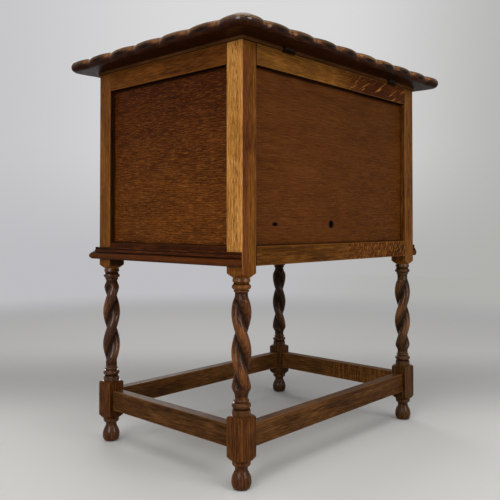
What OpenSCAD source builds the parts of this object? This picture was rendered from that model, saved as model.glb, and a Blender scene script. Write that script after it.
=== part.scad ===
// Side cabinet in oak: a panelled box with a lift-up lid and a pair of doors, standing on
// four twist-turned legs that a rectangle of stretchers joins near the floor.
// X runs to the right, Y to the back and Z up. The origin is on the floor, under the centre.

/* [Overall] */
// Width over the posts
body_w = 520; // [460:5:620]
// Depth over the posts
body_d = 366; // [320:2:440]
// Height from the floor to the foot of the square posts
leg_h = 327; // [300:1:400]
// Height of the square posts
post_h = 352; // [300:1:420]
// Side of the square posts and of the stretcher blocks
post_w = 33; // [31:1:38]

/* [Turned legs] */
// Height of the pear foot with its neck, up to the foot collar
foot_h = 37; // [34:0.5:42]
// Largest diameter of the pear foot
foot_dia = 31; // [26:0.5:34]
// Height of the middle of the foot's belly
foot_belly_z = 12; // [10:0.5:15]
// Radius of the belly, seen from the side
foot_belly_r = 14; // [12.5:0.5:16]
// Diameter of the foot's neck
foot_neck_dia = 20; // [17:0.5:23]
// Height over which that neck flares to the foot collar
foot_flare_h = 6; // [4:0.5:8]
// Height of the collar between foot and block
foot_collar_h = 5; // [3:0.5:8]
// Height of the stretcher block with both its shoulders
block_h = 69; // [60:1:84]
// Height of a shoulder, where turned work runs into square
shoulder_h = 7; // [4:0.5:9]
// Diameter of the collars next to the square parts
collar_dia = 28.5; // [25:0.5:30]
// Height of the collars above the block and under the post
collar_h = 8.5; // [6:0.5:11]
// Largest diameter of the rounded rings
ring_dia = 30; // [27:0.5:31]
// Height of the rounded rings
ring_h = 9; // [7:0.5:11]
// Diameter of the grooves between rings and collars
groove_dia = 25.5; // [22:0.5:27]
// Height of those grooves
groove_h = 2; // [1:0.5:4]
// Diameter of the small ring between the lower ring and the neck
small_ring_dia = 24; // [22:0.5:27]
// Height of the small ring
small_ring_h = 4; // [2:0.5:6]
// Height of the step under the small ring
step_h = 1; // [0.5:0.5:2]
// Diameter of the necks at both ends of the twist
neck_dia = 21; // [19:0.5:23]
// Height of those necks
neck_h = 4; // [2:0.5:6]
// Diameter of one strand of the twist
strand_dia = 18.5; // [16:0.5:20]
// Distance from the leg's axis to the middle of a strand
strand_offset = 6.2; // [5:0.1:6.8]
// Height of one full turn of a strand
twist_pitch = 120; // [100:2:150]
// Height over which the twist rises out of the neck
runout_h = 15; // [8:1:22]
// Turn of the twist on the back right leg, where it leaves the rings
twist_start_back_right = 153; // [0:1:180]
// The same on the front right leg
twist_start_front_right = 152; // [0:1:180]
// The same on the back left leg
twist_start_back_left = 68; // [0:1:180]
// The same on the front left leg
twist_start_front_left = 177; // [0:1:180]

/* [Rails and stretchers] */
// Thickness of the rails
rail_t = 22; // [20:0.5:26]
// Height of the top rails
top_rail_h = 33; // [28:1:45]
// Height of the bottom rails
bottom_rail_h = 30; // [26:1:40]
// Height of square post left under the bottom rails
post_tail = 10; // [4:1:20]
// Thickness of the rail tenons
tenon_t = 8; // [6:0.5:9]
// Length of the rail tenons
tenon_l = 16; // [12:0.5:17]
// Distance of a rail tenon behind the outer face
tenon_in = 6; // [5:0.5:7]
// Height of the stretchers
stretcher_h = 35; // [28:1:44]
// Thickness of the stretchers
stretcher_t = 18; // [15:0.5:20]
// Height of the stretchers' lower edge above the floor
stretcher_z = 60; // [56:0.5:64]
// Setback of the stretchers behind the block's outer face
stretcher_in = 7.5; // [6:0.5:9]
// Thickness of the stretcher tenons
stretcher_tenon_t = 8; // [6:0.5:9]
// Length of the stretcher tenons
stretcher_tenon_l = 11; // [8:0.5:11.5]

/* [Panels and floor] */
// Thickness of the back and side panels
panel_t = 7; // [5:0.5:8]
// Depth of the panels behind the frame's face
panel_in = 10; // [8:0.5:11]
// Depth of the grooves that hold the panels
groove_d = 7; // [5:0.5:9]
// Thickness of the floor board
floor_t = 10; // [8:0.5:15]
// Side of the strips that carry the floor board
cleat_w = 14; // [10:1:18]
// Diameter of the small round hole in the back panel
small_hole_dia = 6; // [4:0.5:9]
// Distance of the small hole from the middle of the back
small_hole_x = 172; // [120:1:185]
// Width of the upright hole in the back panel
long_hole_w = 8; // [5:0.5:10]
// Height of the upright hole
long_hole_h = 11; // [10.5:0.5:16]
// Distance of the upright hole from the middle of the back
long_hole_x = 18; // [5:1:60]
// Height of both holes above the bottom rail
hole_rise = 34; // [25:1:60]

/* [Mouldings] */
// Height of the base moulding
base_h = 22; // [19:0.5:26]
// Projection of the base moulding
base_out = 13.5; // [12:0.5:16]
// Height of the rounded lower part of the base moulding
base_roll_h = 12; // [10:0.5:13]
// Projection of the base moulding's top edge
base_lip_out = 5; // [3:0.5:6]
// Height of the base moulding's top edge
base_lip_h = 3; // [2:0.5:4]
// Thickness of the strip between box and lid
strip_t = 6; // [5:0.5:9]
// Projection of that strip
strip_out = 1.8; // [1:0.1:2.2]

/* [Lid] */
// Thickness of the lid
lid_t = 19; // [16:0.5:24]
// Overhang of the lid past the posts
lid_over = 44; // [36:1:60]
// Depth of the carved notches between the lobes
notch_d = 4; // [2:0.5:6]
// Depth of a notch on the side that leads to a corner
corner_notch_d = 3.6; // [1.8:0.1:5.4]
// Length of a lobe along the edges
lobe_l = 65; // [50:1:80]
// Distance from a corner to the first notch
corner_run = 44; // [40:1:60]
// Radius of the lid's corners
corner_r = 26; // [20:1:34]

/* [Doors] */
// Thickness of the doors
door_t = 18; // [16:0.5:20]
// Width of the door stiles
stile_w = 40; // [34:1:52]
// Height of the door rails
door_rail_h = 40; // [34:1:52]
// Thickness of the door panels
door_panel_t = 6; // [5:0.5:7]
// Depth of the door panels behind the door's face
door_panel_in = 7; // [6:0.5:8]
// Thickness of the door tenons
door_tenon_t = 6; // [5:0.5:7]
// Length of the door tenons
door_tenon_l = 22; // [15:1:28]
// Gap round each door
door_gap = 1.5; // [1.2:0.1:2.5]
// Gap between the two doors
meeting_gap = 2.4; // [2:0.1:4]
// Setback of the doors behind the posts' face
door_in = 0.5; // [0:0.1:1.5]
// Largest diameter of a door knob
knob_dia = 24; // [18:1:30]
// Projection of a door knob
knob_out = 24; // [20:1:30]
// Thickness of a knob's head
knob_head_h = 10; // [7:0.5:13]
// Diameter of a knob's neck
knob_neck_dia = 11; // [9:0.5:14]
// Diameter of a knob's foot, on the door
knob_foot_dia = 17; // [15:0.5:20]
// Height of that foot
knob_foot_h = 3; // [2:0.5:5]
// Diameter of the spigot that holds a knob
spigot_dia = 8; // [6:0.5:10]
// Length of that spigot inside the stile
spigot_l = 12; // [8:0.5:14]

/* [Hinges and screws] */
// Length of each hinge
hinge_l = 30; // [26:1:40]
// Width of a hinge leaf, from the pin's axis
leaf_w = 16; // [14:0.5:17]
// Thickness of a hinge leaf
leaf_t = 1.5; // [1.2:0.1:2]
// Diameter of the hinge knuckles
knuckle_dia = 5.5; // [5:0.1:6]
// Diameter of the hinge pins
pin_dia = 2.5; // [2:0.1:3]
// Distance of a pin's axis outside the wood's face
hinge_out = 3.5; // [3.2:0.1:4]
// Distance of the right lid hinge from the middle of the back
lid_hinge_right = 150; // [100:1:190]
// Distance of the left lid hinge from the middle of the back
lid_hinge_left = 172; // [100:1:190]
// Distance of a door hinge from the end of the door
door_hinge_end = 45; // [30:1:70]
// Diameter of a screw's shank
screw_dia = 2.8; // [2.4:0.1:3.2]
// Diameter of a screw's head
screw_head_dia = 5.6; // [5:0.1:6.4]
// Length of a screw with its head
screw_l = 12; // [9:0.5:14]
// Width of the slot in a screw's head
slot_w = 0.8; // [0.5:0.1:1]
// Depth of that slot
slot_d = 0.5; // [0.3:0.1:0.7]

/* [Clearances] */
// Gap on each face of a tenon, panel edge or spigot
joint_gap = 0.1; // [0.05:0.05:0.2]
// Gap past the end of a tenon, spigot or panel edge
end_gap = 0.5; // [0.3:0.1:0.8]
// Gap between a hinge pin and the knuckles round it
pin_gap = 0.05; // [0.03:0.01:0.08]
// Gap between two knuckles and between two closed leaves
leaf_gap = 0.2; // [0.1:0.05:0.3]
// Gap between the wood and a hinge knuckle that turns in it
knuckle_gap = 0.4; // [0.3:0.05:0.6]

/* [Hidden] */

// Finishes, as the object shows them
FRAME_OAK = [0.52, 0.31, 0.13];
PANEL_OAK = [0.38, 0.20, 0.10];
LEG_OAK = [0.36, 0.21, 0.11];
MOULDING_OAK = [0.24, 0.14, 0.08];
LID_OAK = [0.17, 0.10, 0.06];
BLACKENED_BRASS = [0.25, 0.20, 0.13];

$fn = 64;

// Heights of the box
post_top = leg_h + post_h;
top_rail_z = post_top - top_rail_h;
bottom_rail_z = leg_h + post_tail;
opening_z = bottom_rail_z + bottom_rail_h;
opening_h = top_rail_z - opening_z;
lid_z = post_top + strip_t;
floor_z = opening_z;

// Lid
lid_w = body_w + 2 * lid_over;
lid_d = body_d + 2 * lid_over;

// Heights of the turned parts
block_z = foot_h + foot_collar_h;
base_rings_z = block_z + block_h;
base_rings_h = collar_h + groove_h + ring_h + step_h + small_ring_h + neck_h;
head_rings_h = neck_h + ring_h + groove_h + collar_h;
post_collar_z = leg_h - shoulder_h;
twist_z = base_rings_z + base_rings_h;
twist_h = post_collar_z - head_rings_h - twist_z;

// A lap that only makes joined shapes of one piece run into each other
lap = 0.5;

// The four sides of the box. Each is worked in its own frame: X along the side, Y outwards
// from the face of the posts, Z up from the floor.

function is_long(side) = side == "front" || side == "back";
function side_l(side) = is_long(side) ? body_w : body_d;
function span(side) = side_l(side) - 2 * post_w;
function side_turn(side) = side == "back" ? 0 : side == "front" ? 180 : side == "right" ? -90 : 90;

module at_side(side) {
    rotate([0, 0, side_turn(side)])
        translate([0, (is_long(side) ? body_d : body_w) / 2, 0])
            children();
}

// A bar centred on X that reaches from y0 to y1 and from z0 to z1, with room all round
module bar(l, y0, y1, z0, z1, room = 0, end_room = 0) {
    translate([-l / 2 - end_room, y0 - room, z0 - room])
        cube([l + 2 * end_room, y1 - y0 + 2 * room, z1 - z0 + 2 * room]);
}

// Mortise and tenon joints. A tenon and its mortise are the same bar, and the mortise has room.

// Wood left between a rail's tenon and its outer edge, and between tenon and panel groove
tenon_shoulder = 4;
groove_shoulder = 1;

module rail_tenon(side, z0, z1, room = 0, end_room = 0) {
    bar(span(side) + 2 * tenon_l, -tenon_in - tenon_t, -tenon_in, z0, z1, room, end_room);
}

module top_rail_tenon(side, room = 0, end_room = 0) {
    rail_tenon(side, top_rail_z + groove_d + groove_shoulder, post_top - tenon_shoulder,
        room, end_room);
}

module bottom_rail_tenon(side, room = 0, end_room = 0) {
    rail_tenon(side, bottom_rail_z + tenon_shoulder, opening_z - groove_d - groove_shoulder,
        room, end_room);
}

module stretcher_tenon(side, room = 0, end_room = 0) {
    outer = -stretcher_in - (stretcher_t - stretcher_tenon_t) / 2;
    bar(span(side) + 2 * stretcher_tenon_l, outer - stretcher_tenon_t, outer,
        stretcher_z + tenon_shoulder, stretcher_z + stretcher_h - tenon_shoulder, room, end_room);
}

// The groove round a panel, cut in rails and posts alike
module panel_groove(side) {
    bar(span(side) + 2 * groove_d, -panel_in - panel_t - joint_gap, -panel_in + joint_gap,
        opening_z - groove_d, opening_z + opening_h + groove_d);
}

module post_joints(side) {
    at_side(side) {
        top_rail_tenon(side, joint_gap, end_gap);
        bottom_rail_tenon(side, joint_gap, end_gap);
        stretcher_tenon(side, joint_gap, end_gap);
        if (side != "front") panel_groove(side);
    }
}

// Turned legs. The leg and its post are one piece of wood, built on the axis and then placed.

// One turned element: a plain disc, or one with a half-round edge
module disc(dia, h, rounded = false) {
    if (rounded) {
        square([(dia - h) / 2, h]);
        translate([(dia - h) / 2, h / 2]) circle(d = h);
    } else {
        square([dia / 2, h]);
    }
}

// Turned elements on top of each other, each [height, diameter, rounded edge]
function below(rows, i) = i == 0 ? 0 : rows[i - 1][0] + below(rows, i - 1);

module turned_stack(rows) {
    rotate_extrude()
        intersection() {
            for (i = [0 : len(rows) - 1])
                translate([0, below(rows, i)]) disc(rows[i][1], rows[i][0], rows[i][2]);
            square([post_w, below(rows, len(rows))]);
        }
}

// Square wood whose ends are rounded down to a collar by the lathe
module squared(h, lower_shoulder, upper_shoulder) {
    corner = post_w / sqrt(2) + lap;
    intersection() {
        translate([-post_w / 2, -post_w / 2, 0]) cube([post_w, post_w, h]);
        rotate_extrude()
            polygon([
                [0, 0], [lower_shoulder > 0 ? collar_dia / 2 : corner, 0],
                [corner, lower_shoulder], [corner, h - upper_shoulder],
                [upper_shoulder > 0 ? collar_dia / 2 : corner, h], [0, h],
            ]);
    }
}

// The pear foot is a large arc that the floor cuts off, under a hollow neck
module foot() {
    neck_r = foot_neck_dia / 2;
    rotate_extrude()
        intersection() {
            union() {
                translate([foot_dia / 2 - foot_belly_r, foot_belly_z]) circle(r = foot_belly_r);
                square([neck_r, foot_h]);
                translate([0, foot_h - foot_flare_h])
                    polygon([
                        [0, 0], [neck_r, 0],
                        [collar_dia / 2, foot_flare_h], [0, foot_flare_h],
                    ]);
            }
            square([foot_dia, foot_h]);
        }
}

// Radius of two equal strands side by side, seen along the leg, at angle a from their line
function strand_reach(a, offset, r) = offset * abs(cos(a)) + sqrt(r * r - pow(offset * sin(a), 2));

// 0 in the plain neck at each end of the twist, 1 where the strands are full
function runout(t) = let (u = min(1, min(t, 1 - t) * twist_h / runout_h)) u * u * (3 - 2 * u);

strand_sides = 28;
twist_step = 3.6;

module twist(start) {
    steps = ceil(twist_h / twist_step);
    neck_r = neck_dia / 2 - lap;
    points = [
        for (i = [0 : steps])
            let (
                t = i / steps,
                full = runout(t),
                r = neck_r + (strand_dia / 2 - neck_r) * full,
                turn = start - 360 * t * twist_h / twist_pitch
            )
            for (k = [0 : strand_sides - 1])
                let (
                    a = 360 * k / strand_sides,
                    reach = strand_reach(a, strand_offset * full, r)
                )
                [reach * cos(a + turn), reach * sin(a + turn), t * twist_h]
    ];
    sides = [
        for (i = [0 : steps - 1])
            for (k = [0 : strand_sides - 1])
                let (
                    a = i * strand_sides + k,
                    b = i * strand_sides + (k + 1) % strand_sides
                )
                each [[a, a + strand_sides, b + strand_sides], [a, b + strand_sides, b]]
    ];
    bottom = [for (k = [0 : strand_sides - 1]) k];
    top = [for (k = [strand_sides - 1 : -1 : 0]) steps * strand_sides + k];
    polyhedron(points = points, faces = concat([bottom], sides, [top]), convexity = 4);
}

module leg_blank(start) {
    foot();
    translate([0, 0, foot_h]) turned_stack([[foot_collar_h, collar_dia, false]]);
    translate([0, 0, block_z]) squared(block_h, shoulder_h, shoulder_h);
    translate([0, 0, base_rings_z])
        turned_stack([
            [collar_h, collar_dia, false],
            [groove_h, groove_dia, false],
            [ring_h, ring_dia, true],
            [step_h, neck_dia, false],
            [small_ring_h, small_ring_dia, true],
            [neck_h, neck_dia, false],
        ]);
    translate([0, 0, twist_z]) twist(start);
    translate([0, 0, twist_z + twist_h])
        turned_stack([
            [neck_h, neck_dia, false],
            [ring_h, ring_dia, true],
            [groove_h, groove_dia, false],
            [collar_h, collar_dia, false],
        ]);
    translate([0, 0, post_collar_z]) squared(shoulder_h + post_h, shoulder_h, 0);
}

// x and y are 1 on the right and at the back, -1 on the left and in front
module leg(x, y, start) {
    color(LEG_OAK)
        difference() {
            translate([x * (body_w - post_w) / 2, y * (body_d - post_w) / 2, 0])
                facing(x, y) leg_blank(start);
            post_joints(y > 0 ? "back" : "front");
            post_joints(x > 0 ? "right" : "left");
            if (y < 0) door_hinge_cuts(x < 0, true);
        }
}

// Turns work made for the back right corner to face another corner
module facing(x, y) {
    mirror([x < 0 ? 1 : 0, 0, 0])
        mirror([0, y < 0 ? 1 : 0, 0])
            children();
}

// Rails, stretchers, panels and floor

module rail(side, z, h) {
    bar(span(side), -rail_t, 0, z, z + h);
}

module top_rail(side) {
    color(FRAME_OAK)
        difference() {
            at_side(side) {
                rail(side, top_rail_z, top_rail_h);
                top_rail_tenon(side);
            }
            if (side != "front") at_side(side) panel_groove(side);
            if (side == "back") lid_hinge_screws(false, joint_gap / 2);
        }
}

module bottom_rail(side) {
    color(FRAME_OAK)
        at_side(side)
            difference() {
                union() {
                    rail(side, bottom_rail_z, bottom_rail_h);
                    bottom_rail_tenon(side);
                }
                if (side != "front") panel_groove(side);
            }
}

module stretcher(side) {
    color(LEG_OAK)
        at_side(side) {
            bar(span(side), -stretcher_in - stretcher_t, -stretcher_in,
                stretcher_z, stretcher_z + stretcher_h);
            stretcher_tenon(side);
        }
}

module panel(side) {
    color(PANEL_OAK)
        at_side(side)
            difference() {
                bar(span(side) + 2 * (groove_d - end_gap), -panel_in - panel_t, -panel_in,
                    opening_z - groove_d + end_gap, opening_z + opening_h + groove_d - end_gap);
                if (side == "back") back_holes();
            }
}

module back_holes() {
    rise = opening_z + hole_rise;
    through = panel_in + panel_t + lap;
    translate([small_hole_x, 0, rise])
        rotate([90, 0, 0]) cylinder(d = small_hole_dia, h = through);
    for (end = [-1, 1])
        translate([long_hole_x, 0, rise + end * (long_hole_h - long_hole_w) / 2])
            rotate([90, 0, 0]) cylinder(d = long_hole_w, h = through);
}

// The floor lies on the rails' inner lips and on two strips, and the doors close against it
module floor_board() {
    half_w = body_w / 2 - panel_in - panel_t - end_gap;
    back = body_d / 2 - panel_in - panel_t - end_gap;
    front = body_d / 2 - door_in - door_t - end_gap;
    post_x = body_w / 2 - post_w - end_gap;
    post_y = body_d / 2 - post_w - end_gap;
    color(PANEL_OAK)
        translate([0, 0, floor_z])
            union() {
                translate([-half_w, -post_y, 0]) cube([2 * half_w, 2 * post_y, floor_t]);
                translate([-post_x, -front, 0]) cube([2 * post_x, front + back, floor_t]);
            }
}

module floor_cleat(side) {
    color(PANEL_OAK)
        at_side(side)
            bar(span(side), -rail_t - cleat_w, -rail_t, floor_z - cleat_w, floor_z);
}

// Mouldings. Each is run along its side and cut at 45 degrees where two of them meet.

module base_profile() {
    hollow_r = base_h - base_lip_h - base_roll_h - lap;
    square([base_out - base_roll_h / 2, base_roll_h]);
    translate([base_out - base_roll_h / 2, base_roll_h / 2]) circle(d = base_roll_h);
    difference() {
        square([base_lip_out + hollow_r, base_h - base_lip_h]);
        translate([base_lip_out + hollow_r, base_h - base_lip_h]) circle(r = hollow_r);
    }
    square([base_lip_out, base_h]);
}

// front_end is 1 or -1, the end of the side's X that is mitred, and 0 mitres both
module base_moulding(side, front_end) {
    l = side_l(side);
    reach = base_out + lap;
    color(MOULDING_OAK)
        at_side(side)
            translate([0, 0, bottom_rail_z])
                intersection() {
                    translate([-l, 0, 0])
                        rotate([90, 0, 90]) linear_extrude(2 * l) base_profile();
                    linear_extrude(base_h)
                        polygon([
                            [l / 2, 0], [l / 2 + (front_end >= 0 ? reach : 0), reach],
                            [-l / 2 - (front_end <= 0 ? reach : 0), reach], [-l / 2, 0],
                        ]);
                }
}

module top_strip(side) {
    outer = side_l(side) / 2 + strip_out;
    inner = side_l(side) / 2 - rail_t;
    color(MOULDING_OAK)
        difference() {
            at_side(side)
                translate([0, 0, post_top])
                    linear_extrude(strip_t)
                        polygon([
                            [outer, strip_out], [-outer, strip_out],
                            [-inner, -rail_t], [inner, -rail_t],
                        ]);
            if (side == "back") {
                lid_hinge_cuts(false);
                lid_hinge_screws(false, joint_gap / 2);
            }
        }
}

// Lid. Its half-round edge is carved into lobes, and each lobe is a stretch of a large disc.

// Radius of an arc that falls by depth over a half length
function lobe_r(half, depth) = (half * half + depth * depth) / (2 * depth);

// Sides of the large discs that the lobes are cut from
lobe_sides = 256;

// A lobe of the edge at y = 0, from x0 to x1, highest at x = crest, running back into the board
module lobe(x0, x1, crest, depth = notch_d) {
    r = lobe_r(max(crest - x0, x1 - crest), depth);
    intersection() {
        translate([x0, -lid_t, -lap]) cube([x1 - x0, lid_t + lap, lid_t + 2 * lap]);
        translate([crest, -r, 0]) rotate_extrude($fn = lobe_sides) disc(2 * r, lid_t, true);
    }
}

// The half lobe that leads from a notch to the corner
module corner_lobe(notch, crest) {
    lobe(min(notch, crest), max(notch, crest), crest, corner_notch_d);
}

// One edge, seen from outside: x runs along it, and a corner stands at each end.
// The lobes are counted from the end at start, and the corner at the other end takes the rest.
module lid_edge(l, start) {
    count = floor((l - 2 * corner_run + lap) / lobe_l);
    first = start * (l / 2 - corner_run);
    last = first - start * count * lobe_l;
    crest = start * (l / 2 - corner_r);
    for (i = [0 : count - 1]) {
        near = first - start * i * lobe_l;
        far = near - start * lobe_l;
        lobe(min(near, far), max(near, far), (near + far) / 2);
    }
    corner_lobe(first, crest);
    corner_lobe(last, -crest);
}

// A quarter of a disc, rounded like the lobes and meeting them where they are highest
module lid_corner() {
    intersection() {
        translate([0, 0, -lap]) cube([corner_r + lap, corner_r + lap, lid_t + 2 * lap]);
        rotate_extrude() disc(2 * corner_r, lid_t, true);
    }
}

module lid_board() {
    in = lid_t / 2 + notch_d + lap;
    translate([-lid_w / 2 + in, -lid_d / 2 + in, 0]) cube([lid_w - 2 * in, lid_d - 2 * in, lid_t]);
    for (x = [-1, 1])
        for (y = [-1, 1])
            translate([x * (lid_w / 2 - corner_r), y * (lid_d / 2 - corner_r), 0])
                facing(x, y) lid_corner();
    translate([0, lid_d / 2, 0]) lid_edge(lid_w, 1);
    rotate([0, 0, 180]) translate([0, lid_d / 2, 0]) lid_edge(lid_w, -1);
    rotate([0, 0, -90]) translate([0, lid_w / 2, 0]) lid_edge(lid_d, -1);
    rotate([0, 0, 90]) translate([0, lid_w / 2, 0]) lid_edge(lid_d, 1);
}

module lid() {
    color(LID_OAK)
        difference() {
            translate([0, 0, lid_z]) lid_board();
            lid_hinge_cuts(true);
            lid_hinge_screws(true, joint_gap / 2);
        }
}

// Butt hinges. The pin lies on Z, the leaves reach along -Y, and hand 1 or -1 is the side of
// the closing plane X = 0 on which a leaf lies.

knuckle_l = (hinge_l - 2 * leaf_gap) / 3;
screw_spread = hinge_l / 4;
countersink_h = (screw_head_dia - screw_dia) / 2;
leaf_in = leaf_gap / 2;

module at_screws(hand) {
    for (z = [-screw_spread, screw_spread])
        translate([hand * leaf_in, -(leaf_w + knuckle_dia / 2) / 2, z])
            rotate([0, hand * 90, 0])
                children();
}

// A countersunk screw, its head at z = 0 and its point up
module screw(room = 0) {
    difference() {
        union() {
            cylinder(d1 = screw_head_dia + 2 * room, d2 = screw_dia + 2 * room, h = countersink_h);
            cylinder(d = screw_dia + 2 * room, h = screw_l + room);
        }
        if (room == 0) cube([2 * screw_head_dia, slot_w, 2 * slot_d], center = true);
    }
}

module hinge_leaf(hand, outer) {
    plate_y = knuckle_dia / 2 + knuckle_gap;
    rows = outer ? [-1, 1] : [0];
    difference() {
        union() {
            translate([hand > 0 ? leaf_in : -leaf_in - leaf_t, -leaf_w, -hinge_l / 2])
                cube([leaf_t, leaf_w - plate_y, hinge_l]);
            for (row = rows)
                translate([0, 0, row * (knuckle_l + leaf_gap) - knuckle_l / 2]) {
                    cylinder(d = knuckle_dia, h = knuckle_l);
                    translate([hand > 0 ? leaf_in : -leaf_in - leaf_t, -plate_y - lap, 0])
                        cube([leaf_t, plate_y + lap, knuckle_l]);
                }
        }
        translate([0, 0, -hinge_l]) cylinder(d = pin_dia + 2 * pin_gap, h = 2 * hinge_l);
        at_screws(hand) screw(joint_gap / 2);
    }
}

module hinge_pin() {
    translate([0, 0, -hinge_l / 2]) cylinder(d = pin_dia, h = hinge_l);
}

// The wood cut away for one leaf and for the knuckles that turn beside it
module hinge_cut(hand) {
    translate([hand > 0 ? 0 : -leaf_in - leaf_t, -leaf_w - joint_gap, -hinge_l / 2 - joint_gap])
        cube([leaf_in + leaf_t, leaf_w + joint_gap, hinge_l + 2 * joint_gap]);
    translate([0, 0, -hinge_l / 2 - knuckle_gap])
        cylinder(d = knuckle_dia + 2 * knuckle_gap, h = hinge_l + 2 * knuckle_gap);
}

// Lid hinges: pins along X, outside the back face at the height of the lid's underside

module at_lid_hinges() {
    for (x = [lid_hinge_right, -lid_hinge_left])
        translate([x, body_d / 2 + hinge_out, lid_z])
            rotate([0, 90, 0])
                children();
}

// On these hinges hand -1 is up, in the lid, and hand 1 is down, in the top strip
function lid_hand(in_lid) = in_lid ? -1 : 1;

module lid_hinge_leaves(in_lid) {
    color(BLACKENED_BRASS) at_lid_hinges() hinge_leaf(lid_hand(in_lid), !in_lid);
}

module lid_hinge_cuts(in_lid) {
    at_lid_hinges() hinge_cut(lid_hand(in_lid));
}

module lid_hinge_screws(in_lid, room = 0) {
    color(BLACKENED_BRASS) at_lid_hinges() at_screws(lid_hand(in_lid)) screw(room);
}

// Doors, worked in the frame of the front side. There X runs to the cabinet's left, so the
// left door is built as it stands and the right door is its mirror image.

door_w = span("front") / 2 - door_gap - meeting_gap / 2;
door_h = opening_h - 2 * door_gap;
door_z = opening_z + door_gap;
door_y = -door_in - door_t;

module at_door(left) {
    at_side("front") mirror([left ? 0 : 1, 0, 0]) translate([meeting_gap / 2, 0, 0]) children();
}

module door_bar(x0, x1, y0, y1, z0, z1, room = 0) {
    translate([x0 - room, door_y + y0 - room, door_z + z0 - room])
        cube([x1 - x0 + 2 * room, y1 - y0 + 2 * room, z1 - z0 + 2 * room]);
}

module door_groove() {
    in = stile_w - groove_d;
    y0 = door_t - door_panel_in - door_panel_t;
    door_bar(in, door_w - in, y0, y0 + door_panel_t, door_rail_h - groove_d,
        door_h - door_rail_h + groove_d, joint_gap);
}

// The tenons of both door rails, from stile to stile
module door_tenons(room = 0) {
    y0 = (door_t - door_tenon_t) / 2;
    reach = stile_w - door_tenon_l - (room > 0 ? end_gap : 0);
    door_bar(reach, door_w - reach, y0, y0 + door_tenon_t,
        tenon_shoulder, door_rail_h - groove_d - groove_shoulder, room);
    door_bar(reach, door_w - reach, y0, y0 + door_tenon_t,
        door_h - door_rail_h + groove_d + groove_shoulder, door_h - tenon_shoulder, room);
}

module door_stile(left, hinged) {
    x0 = hinged ? door_w - stile_w : 0;
    color(FRAME_OAK)
        difference() {
            at_door(left)
                difference() {
                    door_bar(x0, x0 + stile_w, 0, door_t, 0, door_h);
                    door_groove();
                    door_tenons(joint_gap);
                    if (!hinged) knob_place() knob_spigot(joint_gap / 2);
                }
            if (hinged) door_hinge_cuts(left, false);
        }
}

module door_rail(left, upper) {
    z0 = upper ? door_h - door_rail_h : 0;
    color(FRAME_OAK)
        at_door(left)
            difference() {
                union() {
                    door_bar(stile_w, door_w - stile_w, 0, door_t, z0, z0 + door_rail_h);
                    intersection() {
                        door_tenons();
                        door_bar(0, door_w, 0, door_t, z0, z0 + door_rail_h);
                    }
                }
                door_groove();
            }
}

module door_panel(left) {
    in = stile_w - groove_d + end_gap;
    y0 = door_t - door_panel_in - door_panel_t;
    color(PANEL_OAK)
        at_door(left)
            door_bar(in, door_w - in, y0, y0 + door_panel_t,
                door_rail_h - groove_d + end_gap, door_h - door_rail_h + groove_d - end_gap);
}

// A knob stands on the middle of the meeting stile and turns on Y
module knob_place() {
    translate([stile_w / 2, -door_in, door_z + door_h / 2]) rotate([-90, 0, 0]) children();
}

module knob_spigot(room = 0) {
    translate([0, 0, -spigot_l - (room > 0 ? end_gap : 0)])
        cylinder(d = spigot_dia + 2 * room, h = spigot_l + (room > 0 ? end_gap : 0));
}

module door_knob(left) {
    color(LEG_OAK)
        at_door(left)
            knob_place() {
                knob_spigot();
                turned_stack([
                    [knob_foot_h, knob_foot_dia, false],
                    [knob_out - knob_foot_h - knob_head_h, knob_neck_dia, false],
                    [knob_head_h, knob_dia, true],
                ]);
            }
}

// Door hinges: pins along Z, in the middle of the gap beside the post
module at_door_hinges(left) {
    x = span("front") / 2 - door_gap / 2;
    at_side("front")
        mirror([left ? 0 : 1, 0, 0])
            for (z = [door_z + door_hinge_end, door_z + door_h - door_hinge_end])
                translate([x, hinge_out, z])
                    children();
}

// The leaf on the post has hand 1, and the leaf on the door hand -1
module door_hinge_cuts(left, in_post) {
    at_door_hinges(left) hinge_cut(in_post ? 1 : -1);
    door_screws(left, in_post, joint_gap / 2);
}

module door_leaves(left, in_post) {
    color(BLACKENED_BRASS) at_door_hinges(left) hinge_leaf(in_post ? 1 : -1, in_post);
}

module door_screws(left, in_post, room = 0) {
    color(BLACKENED_BRASS) at_door_hinges(left) at_screws(in_post ? 1 : -1) screw(room);
}

module door_pins(left) {
    color(BLACKENED_BRASS) at_door_hinges(left) hinge_pin();
}

leg(-1, -1, twist_start_front_left);  // leg_front_left
leg(1, -1, twist_start_front_right);  // leg_front_right
leg(-1, 1, twist_start_back_left);  // leg_back_left
leg(1, 1, twist_start_back_right);  // leg_back_right
top_rail("front");  // top_rail_front
top_rail("back");  // top_rail_back
top_rail("left");  // top_rail_left
top_rail("right");  // top_rail_right
bottom_rail("front");  // bottom_rail_front
bottom_rail("back");  // bottom_rail_back
bottom_rail("left");  // bottom_rail_left
bottom_rail("right");  // bottom_rail_right
stretcher("front");  // stretcher_front
stretcher("back");  // stretcher_back
stretcher("left");  // stretcher_left
stretcher("right");  // stretcher_right
panel("back");  // panel_back
panel("left");  // panel_left
panel("right");  // panel_right
floor_board();
floor_cleat("front");  // floor_cleat_front
floor_cleat("back");  // floor_cleat_back
base_moulding("front", 0);  // base_moulding_front
base_moulding("left", -1);  // base_moulding_left
base_moulding("right", 1);  // base_moulding_right
top_strip("front");  // top_strip_front
top_strip("back");  // top_strip_back
top_strip("left");  // top_strip_left
top_strip("right");  // top_strip_right
lid();
lid_hinge_leaves(false);  // lid_hinge_fixed_leaves
lid_hinge_leaves(true);  // lid_hinge_lid_leaves
color(BLACKENED_BRASS) at_lid_hinges() hinge_pin();  // lid_hinge_pins
lid_hinge_screws(false);  // lid_hinge_fixed_screws
lid_hinge_screws(true);  // lid_hinge_lid_screws
door_stile(true, true);  // door_left_hinge_stile
door_stile(true, false);  // door_left_meeting_stile
door_rail(true, true);  // door_left_top_rail
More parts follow.
